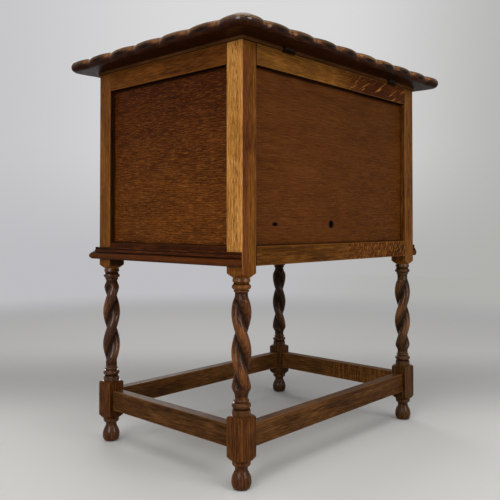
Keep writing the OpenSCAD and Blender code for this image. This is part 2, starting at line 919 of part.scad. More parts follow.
door_rail(true, false);  // door_left_bottom_rail
door_panel(true);  // door_left_panel
door_knob(true);  // door_left_knob
door_stile(false, true);  // door_right_hinge_stile
door_stile(false, false);  // door_right_meeting_stile
door_rail(false, true);  // door_right_top_rail
door_rail(false, false);  // door_right_bottom_rail
door_panel(false);  // door_right_panel
door_knob(false);  // door_right_knob
door_leaves(true, true);  // door_left_fixed_leaves
door_leaves(true, false);  // door_left_moving_leaves
door_pins(true);  // door_left_hinge_pins
door_screws(true, false);  // door_left_hinge_screws
door_leaves(false, true);  // door_right_fixed_leaves
door_leaves(false, false);  // door_right_moving_leaves
door_pins(false);  // door_right_hinge_pins
door_screws(false, false);  // door_right_hinge_screws
for (left = [true, false])  // post_hinge_screws
        door_screws(left, true);
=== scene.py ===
# %% [markdown]
# # A side cabinet in old oak
# The real piece is a small panelled box on four twist-turned legs, with a carved lid that
# lifts and a pair of doors. Its construction comes packed, as solids in metres. This lesson
# gives each solid the look of old, waxed oak: it remakes the turned and carved pieces as
# fine meshes, writes the finishes as node materials, and then sets up floor, light and camera.

import math

import bmesh
import bpy
from mathutils import Matrix, Vector


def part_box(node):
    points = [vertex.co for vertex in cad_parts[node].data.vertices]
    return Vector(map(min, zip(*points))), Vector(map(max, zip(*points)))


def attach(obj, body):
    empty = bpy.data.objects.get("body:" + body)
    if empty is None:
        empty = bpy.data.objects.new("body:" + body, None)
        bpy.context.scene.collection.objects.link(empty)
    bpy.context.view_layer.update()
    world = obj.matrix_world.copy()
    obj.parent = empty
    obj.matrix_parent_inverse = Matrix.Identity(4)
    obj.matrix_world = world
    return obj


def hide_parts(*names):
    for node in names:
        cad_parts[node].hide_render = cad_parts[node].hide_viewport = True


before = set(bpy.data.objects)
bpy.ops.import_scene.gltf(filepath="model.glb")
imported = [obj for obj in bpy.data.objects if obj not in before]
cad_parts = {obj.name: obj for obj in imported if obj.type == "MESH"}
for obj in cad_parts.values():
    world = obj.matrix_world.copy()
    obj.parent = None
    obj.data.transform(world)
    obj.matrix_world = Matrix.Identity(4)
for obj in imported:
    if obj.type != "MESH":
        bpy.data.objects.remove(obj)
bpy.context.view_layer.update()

# %% [markdown]
# ## Sizes that all pieces share
# Rails, panels and mouldings all sit against four square posts. Their faces and axes could be
# typed in once more, but reading them from the box of one leg keeps the scene true to the
# construction when a size is changed there. The cabinet is symmetric about the origin, so one
# leg gives the places of all four.

# %% Sizes of the posts
MM = 0.001
LEG_LOW, LEG_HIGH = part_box("leg_back_right")
POST_HALF = (LEG_HIGH.x - LEG_LOW.x) / 2
POST_TOP = LEG_HIGH.z
# The axis of a leg, its faces towards the cabinet's middle, and its outer faces
LEG_X = LEG_HIGH.x - POST_HALF
LEG_Y = LEG_HIGH.y - POST_HALF
END_X = LEG_X - POST_HALF
END_Y = LEG_Y - POST_HALF
FACE_X = LEG_X + POST_HALF
FACE_Y = LEG_Y + POST_HALF
print("posts", round(2 * POST_HALF / MM, 1), "mm square, axes at", round(LEG_X, 4), round(LEG_Y, 4))

# %% [markdown]
# ## Writing finishes as expressions
# A finish is a tree of nodes. Placed by hand, fifty nodes are hard to read, so a small class
# wraps a node's output and gives it plus, minus and times. An expression such as
# `1 - grime * 0.5` then adds the Math nodes by itself. Colours go through Mix nodes, because
# a Math node would turn them grey. All other nodes come from one method.

# %% Sockets by name and operators


def pick(sockets, key):
    """The socket of that name, or of that number, among those that the settings leave in use."""
    used = [socket for socket in sockets if socket.enabled]
    if isinstance(key, int):
        return used[key]
    return next(socket for socket in used if socket.name == key)


def operator(operation):
    """The method for an operator, and its reflected form for a number on the left."""
    return (
        lambda self, other: self.math(operation, self, other),
        lambda self, other: self.math(operation, other, self),
    )


print("operators take a number on either side")

# %% [markdown]
# ## The class for a socket
# The class holds a tree and one output in it. `node` adds any node, and `math` a Math node.
# Two methods are used all over this lesson: `fade` turns a distance into a soft mask, and
# `blend` mixes two colours by such a mask. They could be left as plain nodes, but a finish
# reads better as `height.fade(low, high).blend(dark, pale)`.

# %% Sockets that calculate


class Socket:
    """An output of a node, or a bare tree to draw the first node in."""

    def __init__(self, tree, output=None):
        self.tree = tree
        self.output = output

    def node(self, kind, settings=None, inputs=None, output=0):
        """Adds a node: its settings first, then the values or links of its sockets."""
        made = self.tree.nodes.new(kind)
        for name, value in (settings or {}).items():
            if name == "stops":
                for position, colour in value[1:-1]:
                    made.color_ramp.elements.new(position)
                for element, (position, colour) in zip(made.color_ramp.elements, value):
                    element.position = position
                    element.color = colour
            else:
                setattr(made, name, value)
        for key, value in (inputs or {}).items():
            target = pick(made.inputs, key)
            if isinstance(value, Socket):
                self.tree.links.new(value.output, target)
            else:
                target.default_value = value
        return Socket(self.tree, pick(made.outputs, output) if made.outputs else None)

    def math(self, operation, *values):
        return self.node("ShaderNodeMath", {"operation": operation}, dict(enumerate(values)))

    __add__, __radd__ = operator("ADD")
    __sub__, __rsub__ = operator("SUBTRACT")
    __mul__, __rmul__ = operator("MULTIPLY")
    __truediv__, __rtruediv__ = operator("DIVIDE")
    __pow__, __rpow__ = operator("POWER")

    def __abs__(self):
        return self.math("ABSOLUTE", self)

    def least(self, other):
        return self.math("MINIMUM", self, other)

    def most(self, other):
        return self.math("MAXIMUM", self, other)

    def fade(self, start, end):
        """0 before start and 1 after end, with a soft passage. start may lie above end."""
        return self.node(
            "ShaderNodeMapRange", {"interpolation_type": "SMOOTHSTEP"},
            {"Value": self, "From Min": start, "From Max": end},
        )

    def blend(self, low, high):
        """A mix of two colours by this number."""
        return self.node(
            "ShaderNodeMix", {"data_type": "RGBA"}, {"Factor": self, "A": low, "B": high}
        )

    def parts(self):
        """The x, y and z of a vector."""
        split = self.node("ShaderNodeSeparateXYZ", {}, {"Vector": self}).output.node
        return {name.lower(): Socket(self.tree, split.outputs[name]) for name in "XYZ"}


print("expressions take + - * / ** and abs")

# %% [markdown]
# ## Colours and finishes
# A colour read off a screen isn't the amount of light that Blender mixes. `paint` turns the
# one into the other, so that a tone can be compared with a picture. Every finish starts as an
# empty tree and ends in one surface shader. Two small functions hold that beginning and end,
# so that wood and brass share them.

# %% From a screen colour to a finish


def paint(red, green, blue):
    """A colour read off a screen, from 0 to 255, as the linear value that Blender mixes in."""
    linear = []
    for value in (red, green, blue):
        share = value / 255
        linear.append(share / 12.92 if share <= 0.04045 else ((share + 0.055) / 1.055) ** 2.4)
    return (*linear, 1.0)


def scaled(colour, factor):
    """A colour darkened or lightened by that factor, short of white."""
    return (*[min(1.0, value * factor) for value in colour[:3]], 1.0)


def begin_finish(name):
    """A new material and the bare tree to write it in."""
    material = bpy.data.materials.new(name)
    material.use_nodes = True
    material.node_tree.nodes.clear()
    return material, Socket(material.node_tree)


def end_finish(pen, shader_inputs):
    """Closes a finish with the surface shader."""
    surface = pen.node("ShaderNodeBsdfPrincipled", {}, shader_inputs)
    pen.node("ShaderNodeOutputMaterial", {}, {"Surface": surface})


print("half grey on a screen is", round(paint(128, 128, 128)[0], 3), "of white light")

# %% [markdown]
# ## What old oak looks like
# Oak has coarse, open pores that lie in the first wood of each year's ring, so a board shows
# dark streaks along its grain. All patterns here are solid ones on Object coordinates: they
# run through the wood, as in a real board, and meet at its edges. A flat image could be laid
# on each face, but its lines would break at every corner. Two patterns come first: noise
# drawn out along the grain, and the rings round the heart of the tree.

# %% Grain and year rings
# The middle of the tree, across the grain, and the width of a year's ring
TREE_HEART = (90 * MM, 70 * MM)
RING_W = 3.2 * MM
RING_WANDER = 9 * MM
WANDER_SIZE = (450 * MM, 50 * MM)


def streaks(place, grain, length, width, seed, detail=3.0):
    """Noise drawn out along the grain, with features of that length and width."""
    scale = [1 / width] * 3
    scale["xyz".index(grain)] = 1 / length
    moved = place.node(
        "ShaderNodeVectorMath", {"operation": "MULTIPLY_ADD"},
        {0: place, 1: scale, 2: (seed * 3.1, seed * 1.7, seed * 2.3)},
    )
    return place.node(
        "ShaderNodeTexNoise", {},
        {"Vector": moved, "Scale": 1.0, "Detail": detail, "Roughness": 0.55},
    )


def year_rings(place, parts, grain, seed):
    """Each ring runs from 0, where its pores begin, to 1, where the next ring starts."""
    across = [name for name in "xyz" if name != grain]
    first = parts[across[0]] - TREE_HEART[0]
    second = parts[across[1]] - TREE_HEART[1]
    radius = (first * first + second * second) ** 0.5
    wander = streaks(place, grain, *WANDER_SIZE, seed, 2.0)
    age = (radius + wander * RING_WANDER) / RING_W
    return age.math("FRACT", age)


print("rings", round(RING_W / MM, 1), "mm apart")

# %% [markdown]
# ## A board's finish
# The figure of a board is a sum of patterns of several sizes: fibres, fine hairs, broad
# bands, clouds of colour and the open wood of each year. One noise would look like clay, and
# one picture of wood would show the same marks on each board. Each board has its own seed
# instead, because neighbours come from different trees. The sum becomes a tone around 0.5,
# and a ramp paints it in three colours. The class keeps what the later passes read and
# change, as the wax and the wear go on after the planing.

# %% Bare wood
# Length along the grain and width across it
BOARD_FIBRE = (24 * MM, 1.3 * MM)
FINE_SIZE = (9 * MM, 0.5 * MM)
BAND_SIZE = (160 * MM, 3.4 * MM)
CLOUD_SIZE = (110 * MM, 40 * MM)
BUMP_DEPTH = 0.35 * MM


class Wood:
    """A board's finish while it is being built up. The passes below change it in turn."""

    def __init__(self, name, grain, tones, seed, figure=1.0, cloud=1.0, fibre=BOARD_FIBRE,
                 gloss=0.5):
        self.material, self.pen = begin_finish(name)
        self.grain = grain
        self.seed = seed
        self.place = self.pen.node("ShaderNodeTexCoord", output="Object")
        self.parts = self.place.parts()
        self.dark, self.light = tones[0], tones[-1]
        self.fibres = self.streaks(*fibre, 0)
        self.fine = self.streaks(*FINE_SIZE, 1, 2.0)
        self.bands = self.streaks(*BAND_SIZE, 2, 2.0)
        self.clouds = self.streaks(*CLOUD_SIZE, 3, 2.0)
        age = year_rings(self.place, self.parts, grain, seed + 5)
        self.open_wood = age.fade(0.0, 0.12) * age.fade(0.75, 0.3)
        # Each noise lies around 0.5, and its factor says how far it moves the tone
        self.tone = (
            0.5
            + (self.fibres - 0.5) * (2.0 * figure)
            + (self.bands - 0.5) * (0.7 * figure)
            + (self.clouds - 0.5) * (0.8 * cloud)
            + (self.fine - 0.5) * (1.0 * figure)
            - self.open_wood * (0.14 * figure)
        )
        self.colour = self.ramp(tones)
        self.pore = self.fine.fade(0.53, 0.66) * (0.3 + self.open_wood * 0.7)
        self.roughness = (
            gloss + (self.fine - 0.5) * 0.2 + (self.clouds - 0.5) * 0.2 + self.pore * 0.1
        )
        self.height = self.fibres * 0.35 + self.fine * 0.4 - self.pore * 0.6

    def streaks(self, length, width, step, detail=3.0):
        """Noise along this board's grain. Each step gives a pattern of its own."""
        return streaks(self.place, self.grain, length, width, self.seed + step, detail)

    def ramp(self, tones):
        """The wood's figure painted in a dark, a middle and a light tone."""
        dark, middle, light = tones
        return self.tone.node(
            "ShaderNodeValToRGB",
            {"stops": [(0.1, dark), (0.5, middle), (0.9, light)]}, {0: self.tone},
        )

    def repaint(self, mask, tones):
        """Gives the figure other tones where a mask, a number from 0 to 1, says so."""
        self.colour = mask.blend(self.colour, self.ramp(tones))

    def stain(self, mask, colour):
        """Lays one colour over the wood where the mask says so."""
        self.colour = mask.blend(self.colour, colour)

    def attribute(self, name):
        """A number that the mesh keeps at each vertex."""
        return self.pen.node("ShaderNodeAttribute", {"attribute_name": name}, output="Fac")

    def finish(self, coat=0.0, shine=0.04):
        """Closes the finish under a coat of wax and returns it."""
        normal = self.pen.node("ShaderNodeBump", {}, {
            "Strength": 0.35, "Distance": BUMP_DEPTH, "Height": self.height,
        })
        end_finish(self.pen, {
            "Base Color": self.colour, "Roughness": self.roughness, "Normal": normal,
            "Specular IOR Level": shine, "Coat Weight": coat, "Coat Roughness": 0.1,
        })
        return self.material


print("bare wood has fibres of", round(BOARD_FIBRE[1] / MM, 1), "mm")

# %% [markdown]
# ## Pores, rays and flakes
# Pores are dark, short grooves. Where a board is cut towards the heart of the tree, its rays
# come out as pale, shining flecks along wavy lines, and as broad flakes where the cut is
# exact. Waves could be modelled by a Wave texture, which is too regular. Here a slow noise
# shifts the place at which a second noise is read, and a soft threshold leaves its peaks.

# %% Marks of the tree
WAVE_SIZE = (34 * MM, 22 * MM)
WAVE_SHIFT = 5 * MM


def open_pores(wood, strength):
    """Dark open pores along the grain."""
    wood.stain(wood.pore * strength, scaled(wood.dark, 0.4))


def show_rays(wood, where, strength, length, width, cut):
    """Pale flecks along wavy lines, where the wood's rays lie in the surface."""
    waves = wood.streaks(*WAVE_SIZE, 7, 1.0)
    sideways = [0.0 if axis == wood.grain else WAVE_SHIFT for axis in "xyz"]
    shifted = wood.place.node(
        "ShaderNodeVectorMath", {"operation": "MULTIPLY_ADD"},
        {0: waves, 1: sideways, 2: wood.place},
    )
    ray = streaks(shifted, wood.grain, length, width, wood.seed + 8, 2.0).fade(*cut) * where
    wood.stain(ray * strength, scaled(wood.light, 1.3))
    wood.roughness = wood.roughness - ray * 0.08


def show_flakes(wood, where, strength, slope, size, cut):
    """Broad shining flakes of ray that slant, by that many degrees, across a board along X."""
    turned = wood.place.node(
        "ShaderNodeMapping", {"vector_type": "POINT"},
        {"Vector": wood.place, "Rotation": (0, math.radians(-slope), 0)},
    )
    flake = streaks(turned, "x", *size, wood.seed + 9, 1.0).fade(*cut) * where
    wood.stain(flake * strength, scaled(wood.light, 1.35))
    wood.roughness = wood.roughness - flake * 0.1


print("rays wander over", round(WAVE_SHIFT / MM, 1), "mm")

# %% [markdown]
# ## Wear, old wax and painted shade
# A century of hands rubs the edges pale, and the corners are darkened, partly by wax and dust
# and partly as painted shade. Both need a distance: from the edge, or from the neighbour. The
# Geometry node's Pointiness could give it, but it depends on how finely a mesh is cut, and a
# board has few vertices. A board is a box, so its distances follow from its position. The
# fibres make the borders ragged.

# %% Marks of use and painted shade


def edge_distance(parts, low, high):
    """How far a point of a board's surface lies from the nearest edge of the board."""
    near = [
        (parts[name] - low[i]).least(high[i] - parts[name]) for i, name in enumerate("xyz")
    ]
    total = near[0] + near[1] + near[2]
    smallest = near[0].least(near[1]).least(near[2])
    largest = near[0].most(near[1]).most(near[2])
    return total - smallest - largest


def rub(wood, distance, strength, width=2.0 * MM):
    """Pale wear along an edge, ragged like real rubbing."""
    ragged = distance + (wood.fibres - 0.5) * (2.2 * width)
    wood.stain(ragged.fade(width, 0.2 * width) * strength, scaled(wood.light, 1.2))


def grime_and_shade(wood, distance, strength, width):
    """Darkens a corner, at distance 0: partly wax and dust, partly painted shade."""
    ragged = distance + (wood.clouds - 0.5) * width + (wood.fibres - 0.5) * width
    held = ragged.fade(width, 0.1 * width) * strength
    wood.stain(held, scaled(wood.dark, 0.35))
    wood.roughness = wood.roughness + held * 0.15


# A near-black colour for dirt, and for painted shade in slots, creases, recesses and under edges
DIRT_AND_SHADE = paint(10, 4, 1)
print("old dirt is", [round(value, 4) for value in DIRT_AND_SHADE[:3]])

# %% [markdown]
# ## Twist-turned legs
# Each leg and its post are one piece of oak. The square blank goes between the lathe's
# centres, the rings and the pear foot are turned, and then the twist is cut with a saw and
# rasps along a spiral line, because a lathe can't make it. Separate cylinders could be
# stacked, but rings and hollows flow into each other. So the mesh follows the same order as
# the work, and begins with the outline that the turner cuts: radii and heights.

# %% Heights and radii of the turning
FOOT_TOP = 37 * MM
BLOCK_LOW = 42 * MM
BLOCK_HIGH = 111 * MM
SHOULDER = 7 * MM
POST_LOW = 320 * MM
TWIST_LOW = 139.5 * MM
TWIST_HIGH = 296.5 * MM
# The rings from the block upwards, each with its lower and upper end
LOWER_COLLAR = (BLOCK_HIGH, 119.5 * MM)
LOWER_RING = (121.5 * MM, 130.5 * MM)
LOWER_BEAD = (131.5 * MM, 135.5 * MM)
UPPER_BEAD = (297.2 * MM, 301.2 * MM)
UPPER_RING = (301.8 * MM, 309.5 * MM)
UPPER_COLLAR = (311.3 * MM, 319 * MM)
COLLAR_R = 14.25 * MM
GROOVE_R = 12.4 * MM
RING_R = 15 * MM
BEAD_R = 12 * MM
NECK_R = 10.3 * MM
UPPER_NECK_R = 12.6 * MM
POST_FOOT_R = 13.0 * MM
CORNER_R = POST_HALF * math.sqrt(2) + 0.5 * MM
SOFTENED = 0.4 * MM
# The pear foot from the floor up to its collar, each point a radius and a height, in mm
FOOT_PROFILE = [
    (8.6, 0), (11.4, 0.6), (13.4, 2.4), (14.8, 5.4), (15.4, 9), (15.5, 12), (15.1, 15.5),
    (14.2, 19), (12.8, 22.4), (11.4, 25.2), (10.6, 27), (10.1, 27.6), (9.9, 29), (9.9, 32.5),
    (10.4, 33.8), (11.6, 34.8), (13.2, 35.6),
]
print("block of", round((BLOCK_HIGH - BLOCK_LOW) / MM, 1), "mm, twist of",
      round((TWIST_HIGH - TWIST_LOW) / MM, 1), "mm")

# %% [markdown]
# ## The turned outline
# A turner uses few cuts: a flat collar, a half-round bead and a slope between round and
# square wood. Each is a small function that returns points from the bottom up, with its
# curve worked out by a formula. The outline strings them together along the leg. It could be
# a curve object, but a list of points can be spun at once.

# %% Cuts of the turner
TWIST_ROWS = 157


def flat_collar(low, high, radius):
    """A flat-sided collar with its two corners softened."""
    return [
        (radius - SOFTENED, low), (radius, low + SOFTENED),
        (radius, high - SOFTENED), (radius - SOFTENED, high),
    ]


def bead(low, high, radius, steps=10):
    """A ring with a half-round edge."""
    half = (high - low) / 2
    turns = [math.pi * (i / steps - 0.5) for i in range(steps + 1)]
    return [
        (radius - half + half * math.cos(turn), low + half + half * math.sin(turn))
        for turn in turns
    ]


def shoulder(low, high, start_r, end_r, rounded=False, steps=16):
    """The passage between round and square wood, straight or rounded over."""
    points = []
    for i in range(steps + 1):
        share = i / steps
        change = 1 - math.sqrt(1 - share * share) if rounded else share
        points.append((start_r + (end_r - start_r) * change, low + (high - low) * share))
    return points


def leg_profile():
    """The whole turned outline, from the middle of the foot to the middle of the post's top."""
    rows = [(0.0, 0.0)]
    rows += [(radius * MM, height * MM) for radius, height in FOOT_PROFILE]
    rows += flat_collar(FOOT_TOP, BLOCK_LOW, COLLAR_R)
    rows += shoulder(BLOCK_LOW, BLOCK_LOW + SHOULDER, COLLAR_R - SOFTENED, CORNER_R)
    rows += shoulder(BLOCK_HIGH - SHOULDER, BLOCK_HIGH, CORNER_R, COLLAR_R, rounded=True)
    rows += flat_collar(*LOWER_COLLAR, COLLAR_R)
    rows += [(GROOVE_R, LOWER_COLLAR[1]), (GROOVE_R, LOWER_RING[0])]
    rows += bead(*LOWER_RING, RING_R)
    rows += [(NECK_R, LOWER_RING[1]), (NECK_R, LOWER_BEAD[0])]
    rows += bead(*LOWER_BEAD, BEAD_R, 6)
    rows += [(NECK_R, LOWER_BEAD[1]), (NECK_R, TWIST_LOW - 2 * MM)]
    rows += [
        (NECK_R, TWIST_LOW + (TWIST_HIGH - TWIST_LOW) * i / TWIST_ROWS)
        for i in range(TWIST_ROWS + 1)
    ]
    rows += bead(*UPPER_BEAD, BEAD_R, 6)
    rows += [(UPPER_NECK_R, UPPER_BEAD[1] + 0.4 * MM)]
    rows += bead(*UPPER_RING, RING_R)[2:]
    rows += [(GROOVE_R, UPPER_RING[1] + 0.1 * MM), (GROOVE_R, UPPER_COLLAR[0] - 0.1 * MM)]
    rows += bead(*UPPER_COLLAR, COLLAR_R)[1:-1:3]
    rows += [(POST_FOOT_R, UPPER_COLLAR[1] + 0.2 * MM), (POST_FOOT_R, POST_LOW)]
    rows += shoulder(POST_LOW, POST_LOW + SHOULDER, COLLAR_R, CORNER_R)
    rows += [(CORNER_R, POST_TOP), (0.0, POST_TOP)]
    return rows


print("profile of", len(leg_profile()), "points")

# %% [markdown]
# ## The square blank and the two strands
# Seen from above, the twist is two round strands side by side, which wind about the leg's
# axis and sink into a round neck at both ends. Two helical tubes could be joined by a
# Boolean, which leaves a rough seam. Instead each vertex of the spun leg is moved in or out
# to a radius from a formula. The columns of vertices wind with the strands, so that the
# sharp valley between them stays clean.

# %% Formulas of the leg
LEG_SIDES = 128
SIDE_TURN = 2 * math.pi / LEG_SIDES
ARRIS = 1.1 * MM
STRAND_R = 9.25 * MM
STRAND_OFFSET = 6.2 * MM
TWIST_NECK_R = 10 * MM
PITCH = 120 * MM
RUNOUT = 15 * MM
CREST_R = STRAND_R + STRAND_OFFSET
VALLEY_R = 7.8 * MM
VALLEY_FILL = 0.9 * MM
VALLEY_SPREAD = 0.16


def ease(value):
    """0 below 0 and 1 above 1, with a soft passage between them."""
    share = min(1.0, max(0.0, value))
    return share * share * (3 - 2 * share)


def square_reach(angle):
    """The radius of the square blank, its corners a little broken, in that direction."""
    across = max(abs(math.cos(angle)), abs(math.sin(angle)))
    diagonal = abs(math.cos(angle)) + abs(math.sin(angle))
    return min(POST_HALF / across, (2 * POST_HALF - ARRIS) / diagonal)


def strand_reach(angle, height):
    """The radius of two strands side by side, which sink into a round neck at each end."""
    full = ease(min(height - TWIST_LOW, TWIST_HIGH - height) / RUNOUT)
    radius = TWIST_NECK_R + (STRAND_R - TWIST_NECK_R) * full
    offset = STRAND_OFFSET * full
    across = offset * math.sin(angle)
    hard = offset * abs(math.cos(angle)) + math.sqrt(radius * radius - across * across)
    valley = VALLEY_FILL * full * math.exp(-((math.cos(angle) / VALLEY_SPREAD) ** 2))
    return hard + valley


def winding(height, start):
    """The turn of the strands at that height. It halts at whole columns outside the twist."""
    inside = min(max(height, TWIST_LOW), TWIST_HIGH)
    turn = start - 2 * math.pi * (inside - TWIST_LOW) / PITCH
    if inside == height:
        return turn
    return round(turn / SIDE_TURN) * SIDE_TURN


def is_square(height):
    """Whether the leg keeps its square blank at that height."""
    return BLOCK_LOW < height < BLOCK_HIGH or height > POST_LOW


print("strands make", round((TWIST_HIGH - TWIST_LOW) / PITCH, 2), "turns")

# %% [markdown]
# ## From an outline to an object
# A lathe turns the wood against a still tool, and a spin turns the tool's outline round
# still wood. A Screw modifier could do it too, but the spun mesh is needed at once, to be
# carved further. Two helpers serve all pieces: one spins an outline, and the other turns a
# finished bmesh into an object whose sharp edges stay sharp under smooth shading.

# %% Spinning and closing
WELD = 0.001 * MM


def close_mesh(shape, name, sharp_degrees=30):
    """Turns a bmesh into an object, faces outward, smooth but for its sharp edges."""
    bmesh.ops.recalc_face_normals(shape, faces=shape.faces)
    mesh = bpy.data.meshes.new(name)
    shape.to_mesh(mesh)
    shape.free()
    mesh.shade_smooth()
    mesh.set_sharp_from_angle(angle=math.radians(sharp_degrees))
    made = bpy.data.objects.new(name, mesh)
    bpy.context.scene.collection.objects.link(made)
    return made


def spin_outline(points, sides):
    """A bmesh of an outline, each point a radius and a height, spun about Z."""
    shape = bmesh.new()
    chain = [shape.verts.new((radius, 0, height)) for radius, height in points]
    edges = [shape.edges.new(pair) for pair in zip(chain, chain[1:])]
    bmesh.ops.spin(
        shape, geom=chain + edges, cent=(0, 0, 0), axis=(0, 0, 1),
        angle=2 * math.pi, steps=sides, use_merge=True,
    )
    bmesh.ops.remove_doubles(shape, verts=shape.verts, dist=WELD)
    return shape


print("doubles closer than", WELD / MM, "mm are merged")

# %% [markdown]
# ## Four legs
# The outline becomes a leg by one spin about its axis. The square parts and the strands are
# then taken out of the round, and the leg is moved to its corner. Legs could be copied and
# turned, but on the cabinet they are mirrored. So the other corners have negative scales,
# which can turn a mesh inside out, and the normals are worked out again after them. Each
# vertex keeps a number, hollow, from 0 on a crest to 1 in a valley, because the finish will
# need to know where wax gathers.

# %% Leg meshes
# Corner, its signs and the turn in degrees where its twist leaves the lower rings
LEGS = {
    "back_right": (1, 1, 153), "front_right": (1, -1, 152),
    "back_left": (-1, 1, 68), "front_left": (-1, -1, 177),
}
LEG_SHARP = 32
ON_RADIUS = 0.01 * MM


def leg_mesh(name, x, y, start):
    """One leg at the corner x, y, which are 1 or -1. start is where its twist begins."""
    shape = spin_outline(leg_profile(), LEG_SIDES)
    hollow = shape.verts.layers.float.new("hollow")
    for vertex in shape.verts:
        radius = math.hypot(vertex.co.x, vertex.co.y)
        vertex[hollow] = 1.0 if abs(radius - GROOVE_R) < ON_RADIUS else 0.0
        if radius < ON_RADIUS:
            continue
        column = math.atan2(vertex.co.y, vertex.co.x)
        height = vertex.co.z
        angle = column + winding(height, start)
        if TWIST_LOW <= height <= TWIST_HIGH:
            radius = strand_reach(column, height)
            vertex[hollow] = min(1.0, max(0.0, (CREST_R - radius) / (CREST_R - VALLEY_R)))
        elif is_square(height):
            radius = min(radius, square_reach(angle))
        vertex.co = (radius * math.cos(angle), radius * math.sin(angle), height)
    bmesh.ops.scale(shape, vec=(x, y, 1), verts=shape.verts)
    bmesh.ops.translate(shape, vec=(x * LEG_X, y * LEG_Y, 0), verts=shape.verts)
    return close_mesh(shape, name, LEG_SHARP)


legs = {
    corner: leg_mesh("turned_leg_" + corner, x, y, math.radians(start))
    for corner, (x, y, start) in LEGS.items()
}
print("legs of", len(legs["back_right"].data.polygons), "faces each")

# %% [markdown]
# ## The carved lid's outline
# The lid's half-round edge is carved into lobes, the old pie-crust pattern. A notch is filed
# every two and a half inches, and the wood between two notches is rounded into a lobe. The
# rim could be a curve drawn by hand, but its lobes repeat, so a formula does it: between two
# notches the rim is an arc of a circle, softened where two arcs meet.

# %% Lobes and notches
LID_LOW, LID_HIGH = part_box("lid")
LID_NOSE = (LID_HIGH.z - LID_LOW.z) / 2
LID_MIDDLE = (LID_HIGH.z + LID_LOW.z) / 2
LONG = LID_HIGH.x - LID_LOW.x
SHORT = LID_HIGH.y - LID_LOW.y
LID_CORNER = 22 * MM
CORNER_FLAT = 9 * MM
NOTCH = 5.8 * MM
NOTCH_SOFT = 4 * MM
# The first notch's distance from a corner, the pitch and the number of notches
LONG_LOBES = (54 * MM, 62 * MM, 9)
SHORT_LOBES = (59 * MM, 66.8 * MM, 6)
# Distances from a notch at which the gouge's scoop begins and is fully cut
SCOOP_START = 9 * MM
SCOOP_FULL = 31 * MM


def notch_places(length, first, pitch, count, from_far_end=False):
    """Distances of an edge's notches from the corner where that edge begins."""
    places = [first + pitch * i for i in range(count)]
    return sorted(length - place for place in places) if from_far_end else places


# The four edges as one walks round: their length, notches, first corner and direction
LID_EDGES = [
    (LONG, notch_places(LONG, *LONG_LOBES), (1, 1), (-1, 0)),
    (SHORT, notch_places(SHORT, *SHORT_LOBES), (-1, 1), (0, -1)),
    (LONG, notch_places(LONG, *LONG_LOBES), (-1, -1), (1, 0)),
    (SHORT, notch_places(SHORT, *SHORT_LOBES, True), (1, -1), (0, 1)),
]


def lobe_fall(along, length, notches):
    """How far the edge falls back at that place, and how fully the gouge scoops it."""
    nearest = min(abs(along - notch) for notch in notches)
    scoop = ease((nearest - SCOOP_START) / (SCOOP_FULL - SCOOP_START))
    corner_end = LID_CORNER + CORNER_FLAT
    if along < notches[0]:
        crest, half, scoop = corner_end, notches[0] - corner_end, 0.0
        along = max(along, crest)
    elif along > notches[-1]:
        crest, half, scoop = length - corner_end, length - corner_end - notches[-1], 0.0
        along = min(along, crest)
    else:
        low = max(notch for notch in notches if notch <= along)
        high = min(notch for notch in notches if notch >= along)
        crest, half = (low + high) / 2, max(high - low, 1 * MM) / 2
    radius = (half * half + NOTCH * NOTCH) / (2 * NOTCH)
    reach = min(abs(along - crest), half - NOTCH_SOFT)
    rise = math.sqrt(radius * radius - reach * reach)
    fall = radius - rise
    if nearest < NOTCH_SOFT:
        fall += reach / rise * (NOTCH_SOFT ** 2 - nearest ** 2) / (2 * NOTCH_SOFT)
    return fall, scoop


print("notches on the edges", [len(notches) for length, notches, *rest in LID_EDGES])

# %% [markdown]
# ## Walking round the lid
# A ring of vertices needs its places in order: along an edge, round a corner, along the next
# edge. Each edge could be made alone and joined, but then the corners need patching. So the
# walk goes once round the whole rim at even steps, and a corner is a quarter circle without
# a notch.

# %% Places on the rim
LID_POINTS = 1600


def rim_place(share):
    """A place on the lid's outline: point, outward direction, fall and scoop."""
    straights = [length - 2 * LID_CORNER for length, *rest in LID_EDGES]
    quarter = LID_CORNER * math.pi / 2
    walked = share * (sum(straights) + 4 * quarter)
    for straight, (length, notches, corner, ahead) in zip(straights, LID_EDGES):
        outward = Vector((ahead[1], -ahead[0]))
        start = Vector((corner[0] * LONG / 2, corner[1] * SHORT / 2))
        if walked <= straight:
            along = walked + LID_CORNER
            fall, scoop = lobe_fall(along, length, notches)
            return start + Vector(ahead) * along, outward, fall, scoop
        walked -= straight
        if walked <= quarter:
            turn = walked / LID_CORNER
            centre = start + Vector(ahead) * (length - LID_CORNER) - outward * LID_CORNER
            direction = outward * math.cos(turn) + Vector(ahead) * math.sin(turn)
            return centre + direction * LID_CORNER, direction, 0.0, 0.0
        walked -= quarter
    raise ValueError("share is past the end of the rim")


rim = [rim_place(i / LID_POINTS) for i in range(LID_POINTS)]
print("lid edge of", len(rim), "places, deepest fall", round(max(r[2] for r in rim) / MM, 2))

# %% [markdown]
# ## The carved lid's board
# The carver rounds the edge over, and takes a thumb-like scoop out of each lobe with a
# gouge. A flat board with a bevel could be displaced to look like it, but its rim would stay
# straight from below. Here the ring of vertices is extruded, step by step, from the
# underside round the nose to the top, each time moved to the formula's place, and two flat
# fills close the board. Each vertex keeps how hollow its place is and how near to the crest
# of a lobe, for the finish to read.

# %% The lid's mesh
NOSE_STEPS = 28
GOUGE_DEPTH = 3.2 * MM
GOUGE_MIDDLE = -1.5 * MM
GOUGE_HALF = 6 * MM
LOWER_LOBES = 0.35
LID_SHARP = 40
RIM_BAND = 1.5 * MM


def hump(share):
    """1 in the middle and 0 from 1 outwards, smooth at both ends."""
    inside = max(0.0, 1 - share * share)
    return inside * inside


